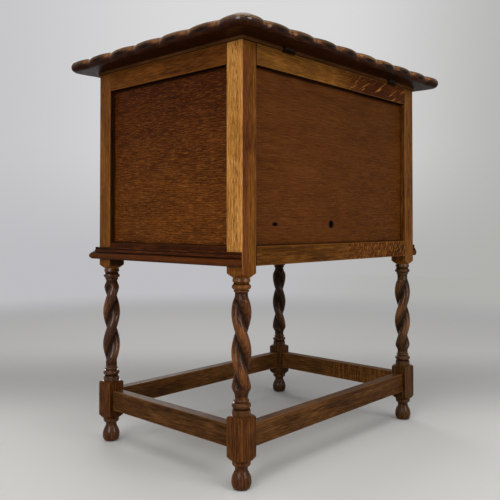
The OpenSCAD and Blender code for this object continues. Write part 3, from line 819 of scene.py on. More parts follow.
def nose_point(place, turn):
    """A vertex of the nose. turn runs from -90 degrees, underneath, to 90 on top."""
    point, outward, fall, scoop = place
    height = LID_NOSE * math.sin(turn)
    gouge = GOUGE_DEPTH * scoop * hump((height - GOUGE_MIDDLE) / GOUGE_HALF)
    weight = 1.0 if turn > 0 else 1 + (1 - LOWER_LOBES) * math.sin(turn)
    inward = LID_NOSE * (1 - math.cos(turn)) + fall * weight + gouge
    flat = point - outward * inward
    return (flat.x, flat.y, LID_MIDDLE + height), gouge / GOUGE_DEPTH


def lid_mesh():
    """The lid's board, extruded ring by ring round its carved nose."""
    shape = bmesh.new()
    index = shape.verts.layers.int.new("place")
    hollow = shape.verts.layers.float.new("hollow")
    crest = shape.verts.layers.float.new("crest")
    ring = bmesh.ops.create_circle(shape, segments=LID_POINTS, radius=1)["verts"]
    for i, vertex in enumerate(ring):
        vertex[index] = i
    edges = list(shape.edges)
    first_edges = edges
    for step in range(NOSE_STEPS + 1):
        turn = math.pi * (step / NOSE_STEPS - 0.5)
        for vertex in ring:
            place = rim[vertex[index]]
            vertex.co, vertex[hollow] = nose_point(place, turn)
            vertex[crest] = 1 - place[2] / NOTCH
        if step < NOSE_STEPS:
            grown = bmesh.ops.extrude_edge_only(shape, edges=edges)["geom"]
            ring = [item for item in grown if isinstance(item, bmesh.types.BMVert)]
            edges = [
                item for item in grown
                if isinstance(item, bmesh.types.BMEdge) and item.is_boundary
            ]
    for loop in (first_edges, edges):
        cap = bmesh.ops.edgeloop_fill(shape, edges=loop)["faces"]
        bmesh.ops.inset_region(shape, faces=cap, thickness=RIM_BAND, use_even_offset=True)
        for vertex in cap[0].verts:
            vertex[hollow] = 0.0
            vertex[crest] = 1.0
    return close_mesh(shape, "carved_lid", LID_SHARP)


lid = lid_mesh()
print("lid of", len(lid.data.polygons), "faces")

# %% [markdown]
# ## Pockets for the hinges
# A hinge leaf is let into the wood, so that lid and doors close without a gap. The solids
# have these pockets, and the new meshes need them too. They could be built into the grid of
# each mesh, but a Boolean modifier takes a simple shape out of any other. Its exact solver
# keeps the edges clean, and the result is kept as a plain mesh.

# %% Taking wood away
CUT_SHARP = 35
BARREL_SIDES = 32


def subtract(piece, tools):
    """Takes a bmesh of closed, separate shapes away from a piece."""
    cutter = close_mesh(tools, "cutter", CUT_SHARP)
    cut = piece.modifiers.new("pockets", "BOOLEAN")
    cut.operation = "DIFFERENCE"
    cut.solver = "EXACT"
    cut.object = cutter
    graph = bpy.context.evaluated_depsgraph_get()
    piece.data = bpy.data.meshes.new_from_object(piece.evaluated_get(graph))
    piece.modifiers.clear()
    bpy.data.objects.remove(cutter)
    piece.data.shade_smooth()
    piece.data.set_sharp_from_angle(angle=math.radians(CUT_SHARP))


def cut_boxes(piece, boxes):
    """Cuts pockets, each a box from low to high."""
    tools = bmesh.new()
    for low, high in boxes:
        cube = bmesh.ops.create_cube(tools, size=1)["verts"]
        bmesh.ops.scale(tools, vec=high - low, verts=cube)
        bmesh.ops.translate(tools, vec=(low + high) / 2, verts=cube)
    subtract(piece, tools)


def cut_barrels(piece, centres, radius, length):
    """Cuts round grooves along X at those centres."""
    tools = bmesh.new()
    for centre in centres:
        bmesh.ops.create_cone(
            tools, cap_ends=True, segments=BARREL_SIDES,
            radius1=radius, radius2=radius, depth=length,
            matrix=Matrix.Translation(centre) @ Matrix.Rotation(math.pi / 2, 4, "Y"),
        )
    subtract(piece, tools)


print("cutters ready")

# %% [markdown]
# ## Pockets in the lid
# The lid turns on two butt hinges at its back edge. Each takes a shallow pocket for the leaf
# and a round groove for the knuckle, which has to turn freely. The cutters reach a little
# past the wood, so that no thin skin is left. The two wide faces are shaded flat afterwards,
# because smooth shading would bend light near the cuts.

# %% Cutting the lid
LEAF_L = 30 * MM
LEAF_ROOM = 0.1 * MM
LID_POCKET = 1.6 * MM
PIN_OUT = 3.5 * MM
KNUCKLE_ROOM_R = 3.15 * MM
KNUCKLE_ROOM_L = LEAF_L + 0.8 * MM
CUT_PAST = 1 * MM
LEVEL = 0.9999
LID_LEAF_LOW, LID_LEAF_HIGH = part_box("lid_hinge_lid_leaves")
LID_HINGE_X = (LID_LEAF_LOW.x + LEAF_L / 2, LID_LEAF_HIGH.x - LEAF_L / 2)
PIN_Y = FACE_Y + PIN_OUT
half_pocket = LEAF_L / 2 + LEAF_ROOM
cut_boxes(lid, [
    (
        Vector((x - half_pocket, LID_LEAF_LOW.y - LEAF_ROOM, LID_LOW.z - CUT_PAST)),
        Vector((x + half_pocket, PIN_Y, LID_LOW.z + LID_POCKET)),
    )
    for x in LID_HINGE_X
])
knuckles = [Vector((x, PIN_Y, LID_LOW.z)) for x in LID_HINGE_X]
cut_barrels(lid, knuckles, KNUCKLE_ROOM_R, KNUCKLE_ROOM_L)
for face in lid.data.polygons:
    if abs(face.normal.z) > LEVEL:
        face.use_smooth = False
print("lid hinges at", [round(x, 4) for x in LID_HINGE_X])

# %% [markdown]
# ## Pockets in the front legs
# Each door hangs on two hinges whose fixed leaves lie in the inner face of a front post. A
# leaf is thin, so its pocket is less than a millimetre deep and open to the front, where the
# pin stands out.

# %% Cutting the posts
DOOR_LEAF_DEPTH = 0.85 * MM
DOOR_LEAF_W = 16 * MM
for side, sign in (("left", -1), ("right", 1)):
    low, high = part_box("door_" + side + "_fixed_leaves")
    xs = sorted((sign * END_X - sign * CUT_PAST, sign * END_X + sign * DOOR_LEAF_DEPTH))
    y = -FACE_Y - PIN_OUT
    cut_boxes(legs["front_" + side], [
        (
            Vector((xs[0], y, low_z - LEAF_ROOM)),
            Vector((xs[1], y + DOOR_LEAF_W + LEAF_ROOM, low_z + LEAF_L + LEAF_ROOM)),
        )
        for low_z in (low.z, high.z - LEAF_L)
    ])
print("door hinges from", round(low.z, 4), "to", round(high.z, 4))

# %% [markdown]
# ## The base moulding
# The moulding under the box is planed in one length, with a roll, a hollow and a lip, then
# cut to length, with mitres where two runs meet in front. A bevelled curve could carry the
# profile, but its mitres would be hard to hit. So one profile is drawn, extruded along each
# side, and its ends are sheared to the mitre: each vertex moves along by its own reach.

# %% Three runs of moulding
BASE_LOW, BASE_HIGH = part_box("base_moulding_right")
BASE_OUT = BASE_HIGH.x - FACE_X
BASE_H = BASE_HIGH.z - BASE_LOW.z
ROLL_R = 6 * MM
ROLL_STEPS = 16
QUIRK = 0.5 * MM
LIP_OUT = 5 * MM
LIP_H = 3 * MM
# The hollow's arc: where it begins and the step of each point, in degrees
HOLLOW_START = -100
HOLLOW_TURN = -8
HOLLOW_STEPS = 10
SIDE_TURNS = {"front": 180, "left": 90, "right": -90}
# Whether the two ends of a run are mitred
MITRES = {"front": (1, 1), "left": (1, 0), "right": (0, 1)}


def base_profile():
    """The moulding's outline, each point an outward reach and a height."""
    middle = BASE_OUT - ROLL_R
    hollow_r = BASE_H - LIP_H - 2 * ROLL_R - QUIRK
    edge = LIP_OUT + hollow_r
    points = [(0, 0)]
    for i in range(ROLL_STEPS + 1):
        turn = math.pi * (i / ROLL_STEPS - 0.5)
        points.append((middle + ROLL_R * math.cos(turn), ROLL_R + ROLL_R * math.sin(turn)))
    points.append((edge - 2 * QUIRK, 2 * ROLL_R + 0.1 * MM))
    for i in range(HOLLOW_STEPS + 1):
        turn = math.radians(HOLLOW_START + HOLLOW_TURN * i)
        up = BASE_H - LIP_H + hollow_r * math.sin(turn)
        points.append((edge + hollow_r * math.cos(turn), up))
    return points + [(LIP_OUT, BASE_H - SOFTENED), (LIP_OUT - SOFTENED, BASE_H), (0, BASE_H)]


def side_frame(side):
    """The frame of a side: X along it, Y outward from the face of the posts."""
    out = FACE_Y if side == "front" else FACE_X
    turn = Matrix.Rotation(math.radians(SIDE_TURNS[side]), 4, "Z")
    return turn @ Matrix.Translation((0, out, 0))


def moulding_mesh(side):
    """One run of the base moulding, mitred at its front ends."""
    half = FACE_X if side == "front" else FACE_Y
    shape = bmesh.new()
    outline = [shape.verts.new((-half, y, BASE_LOW.z + z)) for y, z in base_profile()]
    face = shape.faces.new(outline)
    grown = bmesh.ops.extrude_face_region(shape, geom=[face], use_keep_orig=True)["geom"]
    far = [item for item in grown if isinstance(item, bmesh.types.BMVert)]
    bmesh.ops.translate(shape, vec=(2 * half, 0, 0), verts=far)
    for vertex in shape.verts:
        end = 1 if vertex.co.x > 0 else -1
        vertex.co.x += end * vertex.co.y * MITRES[side][0 if end < 0 else 1]
    bmesh.ops.transform(shape, matrix=side_frame(side), verts=shape.verts)
    return close_mesh(shape, "moulded_base_" + side)


mouldings = {side: moulding_mesh(side) for side in MITRES}
print("mouldings", list(mouldings), "with", len(base_profile()), "points in their profile")

# %% [markdown]
# ## Door knobs
# The knobs are small faceplate turnings: a foot against the door, a slim waist and a domed
# head with one scratched ring. Primitives could be stacked, but a half profile spun about
# its axis gives the turner's own marks. It is spun upright and then laid down to point out
# of the door.

# %% Turned knobs
KNOB_SIDES = 64
KNOB_SHARP = 50
# Each point a radius and a distance out from the door, in millimetres
KNOB_PROFILE = [
    (0, 0), (7.8, 0), (8.5, 0.7), (8.5, 1.9), (7.9, 2.8), (6.9, 3.1), (6.2, 4.2), (5.6, 6.2),
    (5.4, 8.2), (5.7, 10.2), (6.6, 12.0), (8.2, 13.6), (10.2, 14.9), (11.5, 16.3),
    (12.0, 18.0), (11.8, 19.8), (11.0, 21.4), (9.6, 22.6), (8.4, 23.1), (8.0, 22.9),
    (7.6, 23.3), (5.6, 23.7), (3.0, 23.95), (0, 24.0),
]
KNOB_L = KNOB_PROFILE[-1][1] * MM


def knob_mesh(side):
    """One knob, its foot on the door's face."""
    low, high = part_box("door_" + side + "_knob")
    shape = spin_outline([(radius * MM, out * MM) for radius, out in KNOB_PROFILE], KNOB_SIDES)
    seat = Vector(((low.x + high.x) / 2, low.y + KNOB_L, (low.z + high.z) / 2))
    laid = Matrix.Translation(seat) @ Matrix.Rotation(math.pi / 2, 4, "X")
    bmesh.ops.transform(shape, matrix=laid, verts=shape.verts)
    return close_mesh(shape, "turned_knob_" + side, KNOB_SHARP)


knobs = {side: knob_mesh(side) for side in ("left", "right")}
print("knobs", list(knobs), "of", len(knobs["left"].data.polygons), "faces")

# %% [markdown]
# ## Boards that keep their construction shape
# Rails, panels and door parts are plain planed boards, and their solids are already right.
# Remaking them would only risk a gap, so they keep their mesh and get a finish. A plane
# also breaks each sharp edge by a hair, which catches the light. Two modifiers do that: one
# merges the loose triangles of the solid, and one bevels its sharp edges.

# %% Dressing a board
SIDE_GRAIN = {"front": "x", "back": "x", "left": "y", "right": "y"}
BROKEN_EDGE = 0.5 * MM
LOOSE = 0.01 * MM
EDGE_DEGREES = 50


def dress(node, material):
    """Puts a finish on a CAD node and breaks its edges a little, as a plane would."""
    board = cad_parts[node]
    board.data.materials.clear()
    board.data.materials.append(material)
    weld = board.modifiers.new("merged", "WELD")
    weld.merge_threshold = LOOSE
    broken = board.modifiers.new("broken_edges", "BEVEL")
    broken.width = BROKEN_EDGE
    broken.segments = 2
    broken.limit_method = "ANGLE"
    broken.angle_limit = math.radians(EDGE_DEGREES)


def to_post(wood, side):
    """The distance from a point of a rail to the post at its nearer end."""
    if side in ("front", "back"):
        return END_X - abs(wood.parts["x"])
    return END_Y - abs(wood.parts["y"])


print("boards get edges broken by", BROKEN_EDGE / MM, "mm")

# %% [markdown]
# ## Rails, stretchers and strips
# The frame's rails and stretchers are rubbed along their edges, and darkened against the posts
# by dirt and painted shade.
# Some carry marks of their own: on one half the two back rails are redder, with flakes of
# ray, and the left stretcher shows a cross figure. Each could have a material written out by
# hand. One function makes them all instead, and three small passes add what is special.

# %% Special marks of the frame
RED_RAIL_TONES = (paint(36, 10, 0), paint(64, 28, 3), paint(98, 55, 17))
# The red half of a back rail begins and is full at these X
RED_START = 20 * MM
RED_FULL = -60 * MM
# How red that half is, and its flakes: slope, size and cut of the noise
RED_HALVES = {
    "top_rail_back": (1.0, 27, (42 * MM, 2.6 * MM), (0.61, 0.67)),
    "bottom_rail_back": (0.7, 58, (15 * MM, 2.6 * MM), (0.54, 0.64)),
}
FLAKE_STRENGTH = 0.7
CROSS_SIZE = (40 * MM, 3.8 * MM)
CROSS_PALE = paint(128, 80, 31)
# Where the painted shade round the lid's hinges begins, and half its width
HINGE_SHADE_LOW = POST_TOP - 3 * MM
HINGE_SHADE_HALF = 15 * MM


def red_half(wood, node):
    """The redder half of a back rail, with flakes of ray."""
    share, slope, size, cut = RED_HALVES[node]
    half = wood.parts["x"].fade(RED_START, RED_FULL)
    wood.repaint(half * share, RED_RAIL_TONES)
    show_flakes(wood, half, FLAKE_STRENGTH, slope, size, cut)


def cross_figure(wood):
    """Pale waves that cross the grain on the back part of the left stretcher."""
    waves = streaks(wood.place, "z", *CROSS_SIZE, wood.seed + 20, 2.0).fade(0.42, 0.62)
    wood.stain(waves * wood.parts["y"].fade(-60 * MM, 20 * MM) * 0.45, CROSS_PALE)


def hinge_shade(wood):
    """Painted shade round the two hinges of the lid, where they sit in their slots."""
    above = wood.parts["z"].fade(HINGE_SHADE_LOW, HINGE_SHADE_LOW + 2 * MM)
    for x in LID_HINGE_X:
        near = abs(wood.parts["x"] - x).fade(HINGE_SHADE_HALF + 2 * MM, HINGE_SHADE_HALF)
        wood.stain(near * above * 0.9, DIRT_AND_SHADE)


print("red halves on", list(RED_HALVES))

# %% [markdown]
# ## Oak for the frame
# The sixteen boards of the frame are four families on four sides, so a table of tones and
# two loops name them all. The side rails behind the base moulding take its dark tones, as
# painted shade in the recess above it, so that no bright line shows there. Along the lower
# edge of a top rail or strip runs a thin line of painted shade.

# %% Dressing the frame
TOP_BACK_TONES = (paint(56, 28, 3), paint(98, 60, 18), paint(138, 90, 36))
BOTTOM_BACK_TONES = (paint(38, 16, 0), paint(77, 43, 8), paint(116, 73, 23))
RAIL_TONES = (paint(48, 20, 2), paint(88, 48, 12), paint(124, 74, 28))
MOULDING_TONES = (paint(28, 9, 0), paint(56, 24, 5), paint(92, 48, 18))
STRETCHER_TONES = (paint(38, 20, 6), paint(70, 42, 16), paint(104, 68, 34))
STRIP_TONES = (paint(46, 24, 9), paint(80, 48, 22), paint(116, 76, 42))
# Each family's tones: on the back, on the front and on the two sides
FRAME_BOARDS = {
    "top_rail_": (TOP_BACK_TONES, RAIL_TONES, RAIL_TONES),
    # The side bottom rails take the moulding's dark tones, painted shade in the recess above it
    "bottom_rail_": (BOTTOM_BACK_TONES, RAIL_TONES, MOULDING_TONES),
    "stretcher_": (STRETCHER_TONES, STRETCHER_TONES, STRETCHER_TONES),
    "top_strip_": (STRIP_TONES, STRIP_TONES, STRIP_TONES),
}
# Which of its family's tones a side takes
TONE_PLACE = {"front": 1, "back": 0, "left": 2, "right": 2}
FRAME_SEED = 11
RAIL_FIBRE = (22 * MM, 2.6 * MM)
STRETCHER_FIBRE = (26 * MM, 1.5 * MM)
# Above a board's lower edge, where a line of painted shade begins and is full
SHADE_LINES = {"top_strip": (1.4 * MM, 0.6 * MM), "top_rail": (0.8 * MM, 0.2 * MM)}


def rail_oak(node, side, tones, seed):
    """Oak for a rail, stretcher or strip: rubbed edges, dirt and painted shade against the posts.
    """
    figure, fibre = (0.8, STRETCHER_FIBRE) if node.startswith("stretcher") else (0.5, RAIL_FIBRE)
    wood = Wood(node + "_oak", SIDE_GRAIN[side], tones, seed, figure=figure, fibre=fibre)
    open_pores(wood, 0.4)
    if node in RED_HALVES:
        red_half(wood, node)
    if node == "stretcher_left":
        cross_figure(wood)
    low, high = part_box(node)
    behind_moulding = node in ("bottom_rail_left", "bottom_rail_right")
    rub(wood, edge_distance(wood.parts, low, high), 0.1 if behind_moulding else 0.4)
    if not node.startswith("top_strip"):
        # Dark against the posts: dirt and painted shade
        grime_and_shade(wood, to_post(wood, side), 0.7, 1.5 * MM)
    # A thin line of painted shade along the lower edge of a top rail or strip
    for family, (start, end) in SHADE_LINES.items():
        if node.startswith(family):
            wood.stain(wood.parts["z"].fade(low.z + start, low.z + end) * 0.9, DIRT_AND_SHADE)
    if node in ("top_rail_back", "top_strip_back"):
        hinge_shade(wood)
    return wood.finish()


frame_boards = [
    (family + side, side, tones[place])
    for side, place in TONE_PLACE.items()
    for family, tones in FRAME_BOARDS.items()
]
for seed, (node, side, tones) in enumerate(frame_boards, FRAME_SEED):
    dress(node, rail_oak(node, side, tones, seed))
print("frame boards", len(frame_boards))

# %% [markdown]
# ## Sunk panels
# The panels are thin boards cut towards the heart, so wavy rays cover them. They are darker
# towards one end, on the side panels towards the top, where it is painted shade. A dark line
# lies all round against the frame, partly old wax and partly painted shade. The back has two
# small holes, each painted as a dark ellipse for the shade in the hole and its dark rim. The
# rims could be rings of geometry, but two ellipses in the finish do it.

# %% Oak for the panels
BACK_PANEL_TONES = (paint(58, 27, 3), paint(78, 40, 9), paint(98, 56, 20))
BACK_FAR_TONES = (paint(54, 25, 1), paint(73, 37, 5), paint(91, 52, 15))
SIDE_PANEL_TONES = (paint(48, 21, 1), paint(78, 39, 6), paint(112, 64, 22))
# A darker copy of the side panel's tones, painted shade towards its top
SIDE_SHADED_TONES = (paint(34, 9, 0), paint(54, 20, 2), paint(80, 37, 8))
PANEL_FIBRE = (34 * MM, 0.9 * MM)
# Where the far tones begin and are full, how strong the figure is, and the rays: their
# strength, length, width and cut of the noise
BACK_PANEL = {
    "tones": BACK_PANEL_TONES, "far_tones": BACK_FAR_TONES,
    "far": ("x", 150 * MM, -150 * MM), "figure": 0.8,
    "rays": (0.3, 20 * MM, 1.3 * MM, (0.54, 0.62)),
}
SIDE_PANEL = {
    "tones": SIDE_PANEL_TONES, "far_tones": SIDE_SHADED_TONES,
    "far": ("z", 400 * MM, 660 * MM), "figure": 0.85,
    "rays": (0.6, 16 * MM, 1.0 * MM, (0.55, 0.61)),
}
# Each panel with its seed
PANELS = {"back": (31, BACK_PANEL), "right": (33, SIDE_PANEL), "left": (35, SIDE_PANEL)}
# The rays grow fainter between these heights
RAYS_FAINT = (450 * MM, 640 * MM)
# The two holes in the back: X, half width and half height of the dark ellipse, painted shade in the
# hole and its rim
BACK_HOLES = ((172 * MM, 7.5 * MM, 3.2 * MM), (18 * MM, 8 * MM, 7.2 * MM))
HOLES_Z = 401 * MM


def hole_rims(wood):
    """Dark ellipses at the two holes of the back panel: painted shade in the holes and their dark
    rims.
    """
    for x, half_width, half_height in BACK_HOLES:
        across = (wood.parts["x"] - x) / half_width
        up = (wood.parts["z"] - HOLES_Z) / half_height
        rim = (across * across + up * up) ** 0.5
        wood.stain(rim.fade(1.15, 0.85) * 0.9, DIRT_AND_SHADE)


def panel_oak(node, side, look, seed):
    """Oak for a sunk panel: pale rays, and a dark line round its frame, old wax and painted shade.
    """
    wood = Wood(
        node + "_oak", SIDE_GRAIN[side], look["tones"], seed,
        figure=look["figure"], cloud=0.6, fibre=PANEL_FIBRE,
    )
    axis, start, end = look["far"]
    # Darker towards one end; on the side panels towards the top, which is painted shade
    wood.repaint(wood.parts[axis].fade(start, end), look["far_tones"])
    open_pores(wood, 0.5)
    height = wood.parts["z"]
    show_rays(wood, 1 - height.fade(*RAYS_FAINT) * 0.5, *look["rays"])
    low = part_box("bottom_rail_" + side)[1].z
    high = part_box("top_rail_" + side)[0].z
    frame_gap = to_post(wood, side).least((height - low).least(high - height))
    # A dark line round the frame: old wax and painted shade
    grime_and_shade(wood, frame_gap, 0.75, 5 * MM)
    if side == "back":
        hole_rims(wood)
    return wood.finish()


for side, (seed, look) in PANELS.items():
    dress("panel_" + side, panel_oak("panel_" + side, side, look, seed))
print("panels", list(PANELS))

# %% [markdown]
# ## Inner boards and doors
# The floor inside was never waxed and has stayed pale, while the doors match the frame. A
# plain finish with pores and rubbed edges is enough for both, since nothing special happened
# to them. The grain runs along each board: upright in stiles and door panels, level in
# rails.

# %% Oak for plain boards
INNER_TONES = (paint(110, 78, 44), paint(148, 110, 68), paint(178, 140, 94))
DOOR_TONES = (paint(46, 22, 4), paint(84, 47, 15), paint(124, 76, 30))
PLAIN_SEED = 36
DOOR_GRAIN = {
    "hinge_stile": "z", "meeting_stile": "z", "top_rail": "x", "bottom_rail": "x", "panel": "z",
}


def plain_oak(node, grain, tones, seed, gloss=0.5, coat=0.0):
    """Oak for a piece with no special marks: pores and rubbed edges."""
    wood = Wood(node + "_oak", grain, tones, seed, figure=0.6, gloss=gloss)
    open_pores(wood, 0.3)
    rub(wood, edge_distance(wood.parts, *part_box(node)), 0.4)
    return wood.finish(coat=coat)


plain_boards = [
    (node, "x", INNER_TONES, 0.65)
    for node in ("floor_board", "floor_cleat_front", "floor_cleat_back")
]
for side in ("left", "right"):
    for part, grain in DOOR_GRAIN.items():
        tones = BACK_PANEL_TONES if part == "panel" else DOOR_TONES
        plain_boards.append(("door_" + side + "_" + part, grain, tones, 0.5))
for seed, (node, grain, tones, gloss) in enumerate(plain_boards, PLAIN_SEED):
    dress(node, plain_oak(node, grain, tones, seed, gloss))
print("plain boards", len(plain_boards))

# %% [markdown]
# ## Oak for the legs
# On a twist the hollows are dark, partly old wax and partly painted shade, and the crests are
# rubbed to the orange wood. The place of a hollow could be guessed from its height, but the
# mesh already knows it: the number kept at each vertex steers wax, painted shade, wear and
# gloss. The square posts above are brighter, and their inner faces are darkened by dirt and
# painted shade. One of them is a special case and comes first: light has bleached the outer
# face of the back right post gold, and its back has turned red.

# %% The bleached post
GOLD_TONES = (paint(110, 65, 19), paint(159, 106, 44), paint(194, 142, 78))
RED_POST_TONES = (paint(56, 24, 8), paint(90, 45, 18), paint(124, 70, 33))
GOLD_DASH = paint(92, 52, 18)
GOLD_GLINT = paint(206, 160, 98)
GOLD_LOW = 330 * MM
DASH_SIZE = (11 * MM, 1.7 * MM)
GLINT_SIZE = (14 * MM, 1.1 * MM)
# The skin of wood behind a face that counts as that face
SKIN = (1.6 * MM, 1.0 * MM)


def bleached_post(wood, post):
    """The back right post: gold on its outer face, redder towards the back."""
    x, y, height = wood.parts["x"], wood.parts["y"], wood.parts["z"]
    face = x.fade(FACE_X - SKIN[0], FACE_X - SKIN[1])
    pale = face * height.fade(GOLD_LOW, GOLD_LOW + 30 * MM)
    wood.repaint(pale, GOLD_TONES)
    middle = abs(y - LEG_Y - 2 * MM).fade(10 * MM, 5 * MM)
    dashes = wood.streaks(*DASH_SIZE, 6, 2.0).fade(0.53, 0.6)
    wood.stain(pale * dashes * middle * 0.8, GOLD_DASH)
    # Pale glints painted on the gold face
    glints = wood.streaks(*GLINT_SIZE, 12, 2.0).fade(0.54, 0.64)
    wood.stain(pale * glints * 0.35, GOLD_GLINT)
    back_face = y.fade(FACE_Y - SKIN[0], FACE_Y - SKIN[1])
    near_arris = x.fade(LEG_X - 1 * MM, LEG_X + 5 * MM)
    below_top = height.fade(POST_TOP - 4 * MM, POST_TOP - 40 * MM)
    wood.repaint(back_face * near_arris * (1 - pale) * post * below_top * 0.8, RED_POST_TONES)


print("gold face at X =", round(FACE_X, 4))

# %% [markdown]
# ## Wax and wear on the legs
# Each leg goes through the same steps as in the shop: tones for leg and post, pores, rubbed
# crests and arrises, then dark wax and painted shade in the hollows and a little darkening on
# the foot. Four copies of one material would look alike, so each leg has its own seed and
# tones, the front left leg's darker ones being painted shade, and the coat of wax is thinner
# in the hollows than on the crests.

# %% Waxed and rubbed legs
NEAR_LEG_TONES = (paint(30, 13, 2), paint(67, 35, 10), paint(111, 66, 27))
LEG_TONES = (paint(30, 14, 2), paint(62, 37, 14), paint(106, 70, 35))
# A darker copy of the leg tones: painted shade on the front left leg
SHADED_FAR_LEG_TONES = (paint(24, 10, 1), paint(50, 28, 9), paint(90, 57, 26))
TONES_OF_LEGS = {
    "back_right": NEAR_LEG_TONES, "front_right": NEAR_LEG_TONES,
    "back_left": LEG_TONES, "front_left": SHADED_FAR_LEG_TONES,
}
POST_TONES = (paint(58, 27, 3), paint(99, 57, 15), paint(132, 84, 32))
WORN_CREST = paint(138, 86, 40)
WAX_AND_SHADE = paint(22, 10, 4)
LEG_SEED = 49
NECK_TOP = TWIST_HIGH + 2 * MM
# From the axis of a leg, where square wood ends and turned wood begins
SQUARE_R = 16.2 * MM
TURNED_R = 15.7 * MM


def inner_faces(wood):
    """A mask of a post's inner faces, full on the one across Y and faint on the other."""
    inner_x = abs(wood.parts["x"]).fade(END_X + 0.6 * MM, END_X + 0.2 * MM)
    inner_y = abs(wood.parts["y"]).fade(END_Y + 0.6 * MM, END_Y + 0.2 * MM)
    return inner_y.most(inner_x * 0.25)


def leg_oak(corner, x, y, seed):
    """Oak for a leg: dark wax and painted shade in every hollow, crests rubbed to the orange wood
    below.
    """
    tones = TONES_OF_LEGS[corner]
    wood = Wood("leg_" + corner + "_oak", "z", tones, seed, figure=0.75, gloss=0.36)
    open_pores(wood, 0.45)
    height = wood.parts["z"]
    post = height.fade(POST_LOW, POST_LOW + SHOULDER)
    bright_low = NECK_TOP if corner == "back_right" else POST_LOW - 2 * MM
    wood.repaint(height.fade(bright_low - 1 * MM, bright_low + 2 * MM), POST_TONES)
    hollow = wood.attribute("hollow")
    from_x = abs(wood.parts["x"] - x * LEG_X)
    from_y = abs(wood.parts["y"] - y * LEG_Y)
    turned = ((from_x * from_x + from_y * from_y) ** 0.5).fade(SQUARE_R, TURNED_R)
    on_twist = height.fade(TWIST_LOW, TWIST_LOW + 12 * MM) * height.fade(NECK_TOP, TWIST_HIGH)
    crest = turned * hollow.fade(0.3, 0.0) * on_twist
    wood.stain(crest * wood.clouds.fade(0.47, 0.62) * 0.35, WORN_CREST)
    # Adding turned, a whole metre, keeps the wear of the arrises off the round wood
    rub(wood, POST_HALF - from_x.least(from_y) + turned, 0.45, 1.8 * MM)
    # Dark in the twist's hollows: old wax and painted shade
    wood.stain(hollow.fade(0.3, 0.95) * 0.85, WAX_AND_SHADE)
    # Painted shade and dirt on the posts' inner faces, in the recess beside the panels
    wood.stain(inner_faces(wood) * post * 0.8, DIRT_AND_SHADE)
    if corner == "back_right":
        bleached_post(wood, post)
    # A little darker on the foot
    wood.stain(height.fade(FOOT_TOP, FOOT_TOP - 6 * MM) * 0.22, WAX_AND_SHADE)
    wood.roughness = wood.roughness + hollow * 0.2
    wax = 0.42 if corner == "front_right" else 0.18
    above_foot = height.fade(FOOT_TOP - 1 * MM, FOOT_TOP + 1 * MM) * 0.35 + 0.65
    return wood.finish(coat=turned * (0.04 + (1 - hollow) * wax) * above_foot, shine=0.05)


def join_frame(piece, body, material, node):
    """Gives a new piece its finish and body, and lets it stand for its CAD node."""
    piece.data.materials.append(material)
    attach(piece, body)
    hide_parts(node)


for seed, (corner, (x, y, start)) in enumerate(LEGS.items(), LEG_SEED):
    material = leg_oak(corner, x, y, seed)
    join_frame(legs[corner], "carcass", material, "leg_" + corner)
print("legs waxed", list(LEGS))

# %% [markdown]
# ## Oak for mouldings and knobs
# Dark lines lie in the creases of a moulding, partly wax and partly painted shade, and its roll
# is rubbed. The moulding runs level, so height alone says where a line is, and no extra data
# is needed. The knobs are plain turned oak, polished by fingers, so they take the plain finish
# with more gloss.

# %% Waxed mouldings and knobs
MOULDING_SEED = 53
KNOB_SEED = 56
# Heights above the moulding's foot of its dark crease lines, wax and painted shade, and how far
# they reach
MOULDING_WAX_AND_SHADE_LINES = ((2 * ROLL_R + 0.6 * MM, 1.6 * MM), (BASE_H - LIP_H - 0.4 * MM, 1.2 * MM))


def moulding_oak(node, side, seed):
    """Oak for a moulding: dark lines of wax and painted shade in its creases, a rubbed roll."""
    wood = Wood(node + "_oak", SIDE_GRAIN[side], MOULDING_TONES, seed, figure=0.7, gloss=0.42)
    open_pores(wood, 0.4)
    up = wood.parts["z"] - BASE_LOW.z
    for line, reach in MOULDING_WAX_AND_SHADE_LINES:
        wood.stain(abs(up - line).fade(reach, 0.3 * reach) * 0.8, DIRT_AND_SHADE)
    rub(wood, abs(up - ROLL_R) - 2 * MM, 0.3, 2.5 * MM)
    return wood.finish(shine=0.03)


for seed, (side, moulding) in enumerate(mouldings.items(), MOULDING_SEED):
    node = "base_moulding_" + side
    join_frame(moulding, "carcass", moulding_oak(node, side, seed), node)
for seed, (side, knob) in enumerate(knobs.items(), KNOB_SEED):
    node = "door_" + side + "_knob"
    material = plain_oak(node, "y", LEG_TONES, seed, gloss=0.32, coat=0.2)
    join_frame(knob, "door_" + side, material, node)
print("mouldings and knobs waxed", len(mouldings) + len(knobs))

# %% [markdown]
# ## Oak for the carved lid
# From below the lid is painted nearly black as shade, and its brown lobes are painted lighter
# above, as light. The wood is amber between the notches and the crests, partly rubbed and
# partly a painted highlight. Each scoop is dark, partly old wax and partly painted shade. As on
# the legs, numbers kept at the vertices say where that is. They could be painted by hand as
# a mask, but the formula that carved the mesh knows them exactly. Hands have polished the
# corners, so the coat of wax is strongest there.

# %% Waxed lid
LID_TONES = (paint(32, 14, 3), paint(62, 33, 11), paint(98, 58, 24))
LIT_LOBE_TONES = (paint(28, 14, 5), paint(76, 49, 23), paint(136, 100, 62))
SHADED_UNDER_TONES = (paint(16, 5, 0), paint(39, 15, 4), paint(72, 35, 11))
AMBER_WEAR_AND_HIGHLIGHT = paint(160, 98, 34)
GOUGE_WAX_AND_SHADE = paint(20, 10, 4)
LID_SEED = 90
LID_FIBRE = (30 * MM, 1.2 * MM)
# Beyond this place hands have polished the lid's corners
CORNER_WAX = Vector((LONG / 2 - 20 * MM, SHORT / 2 - 20 * MM))
POLISH_REACH = 15 * MM


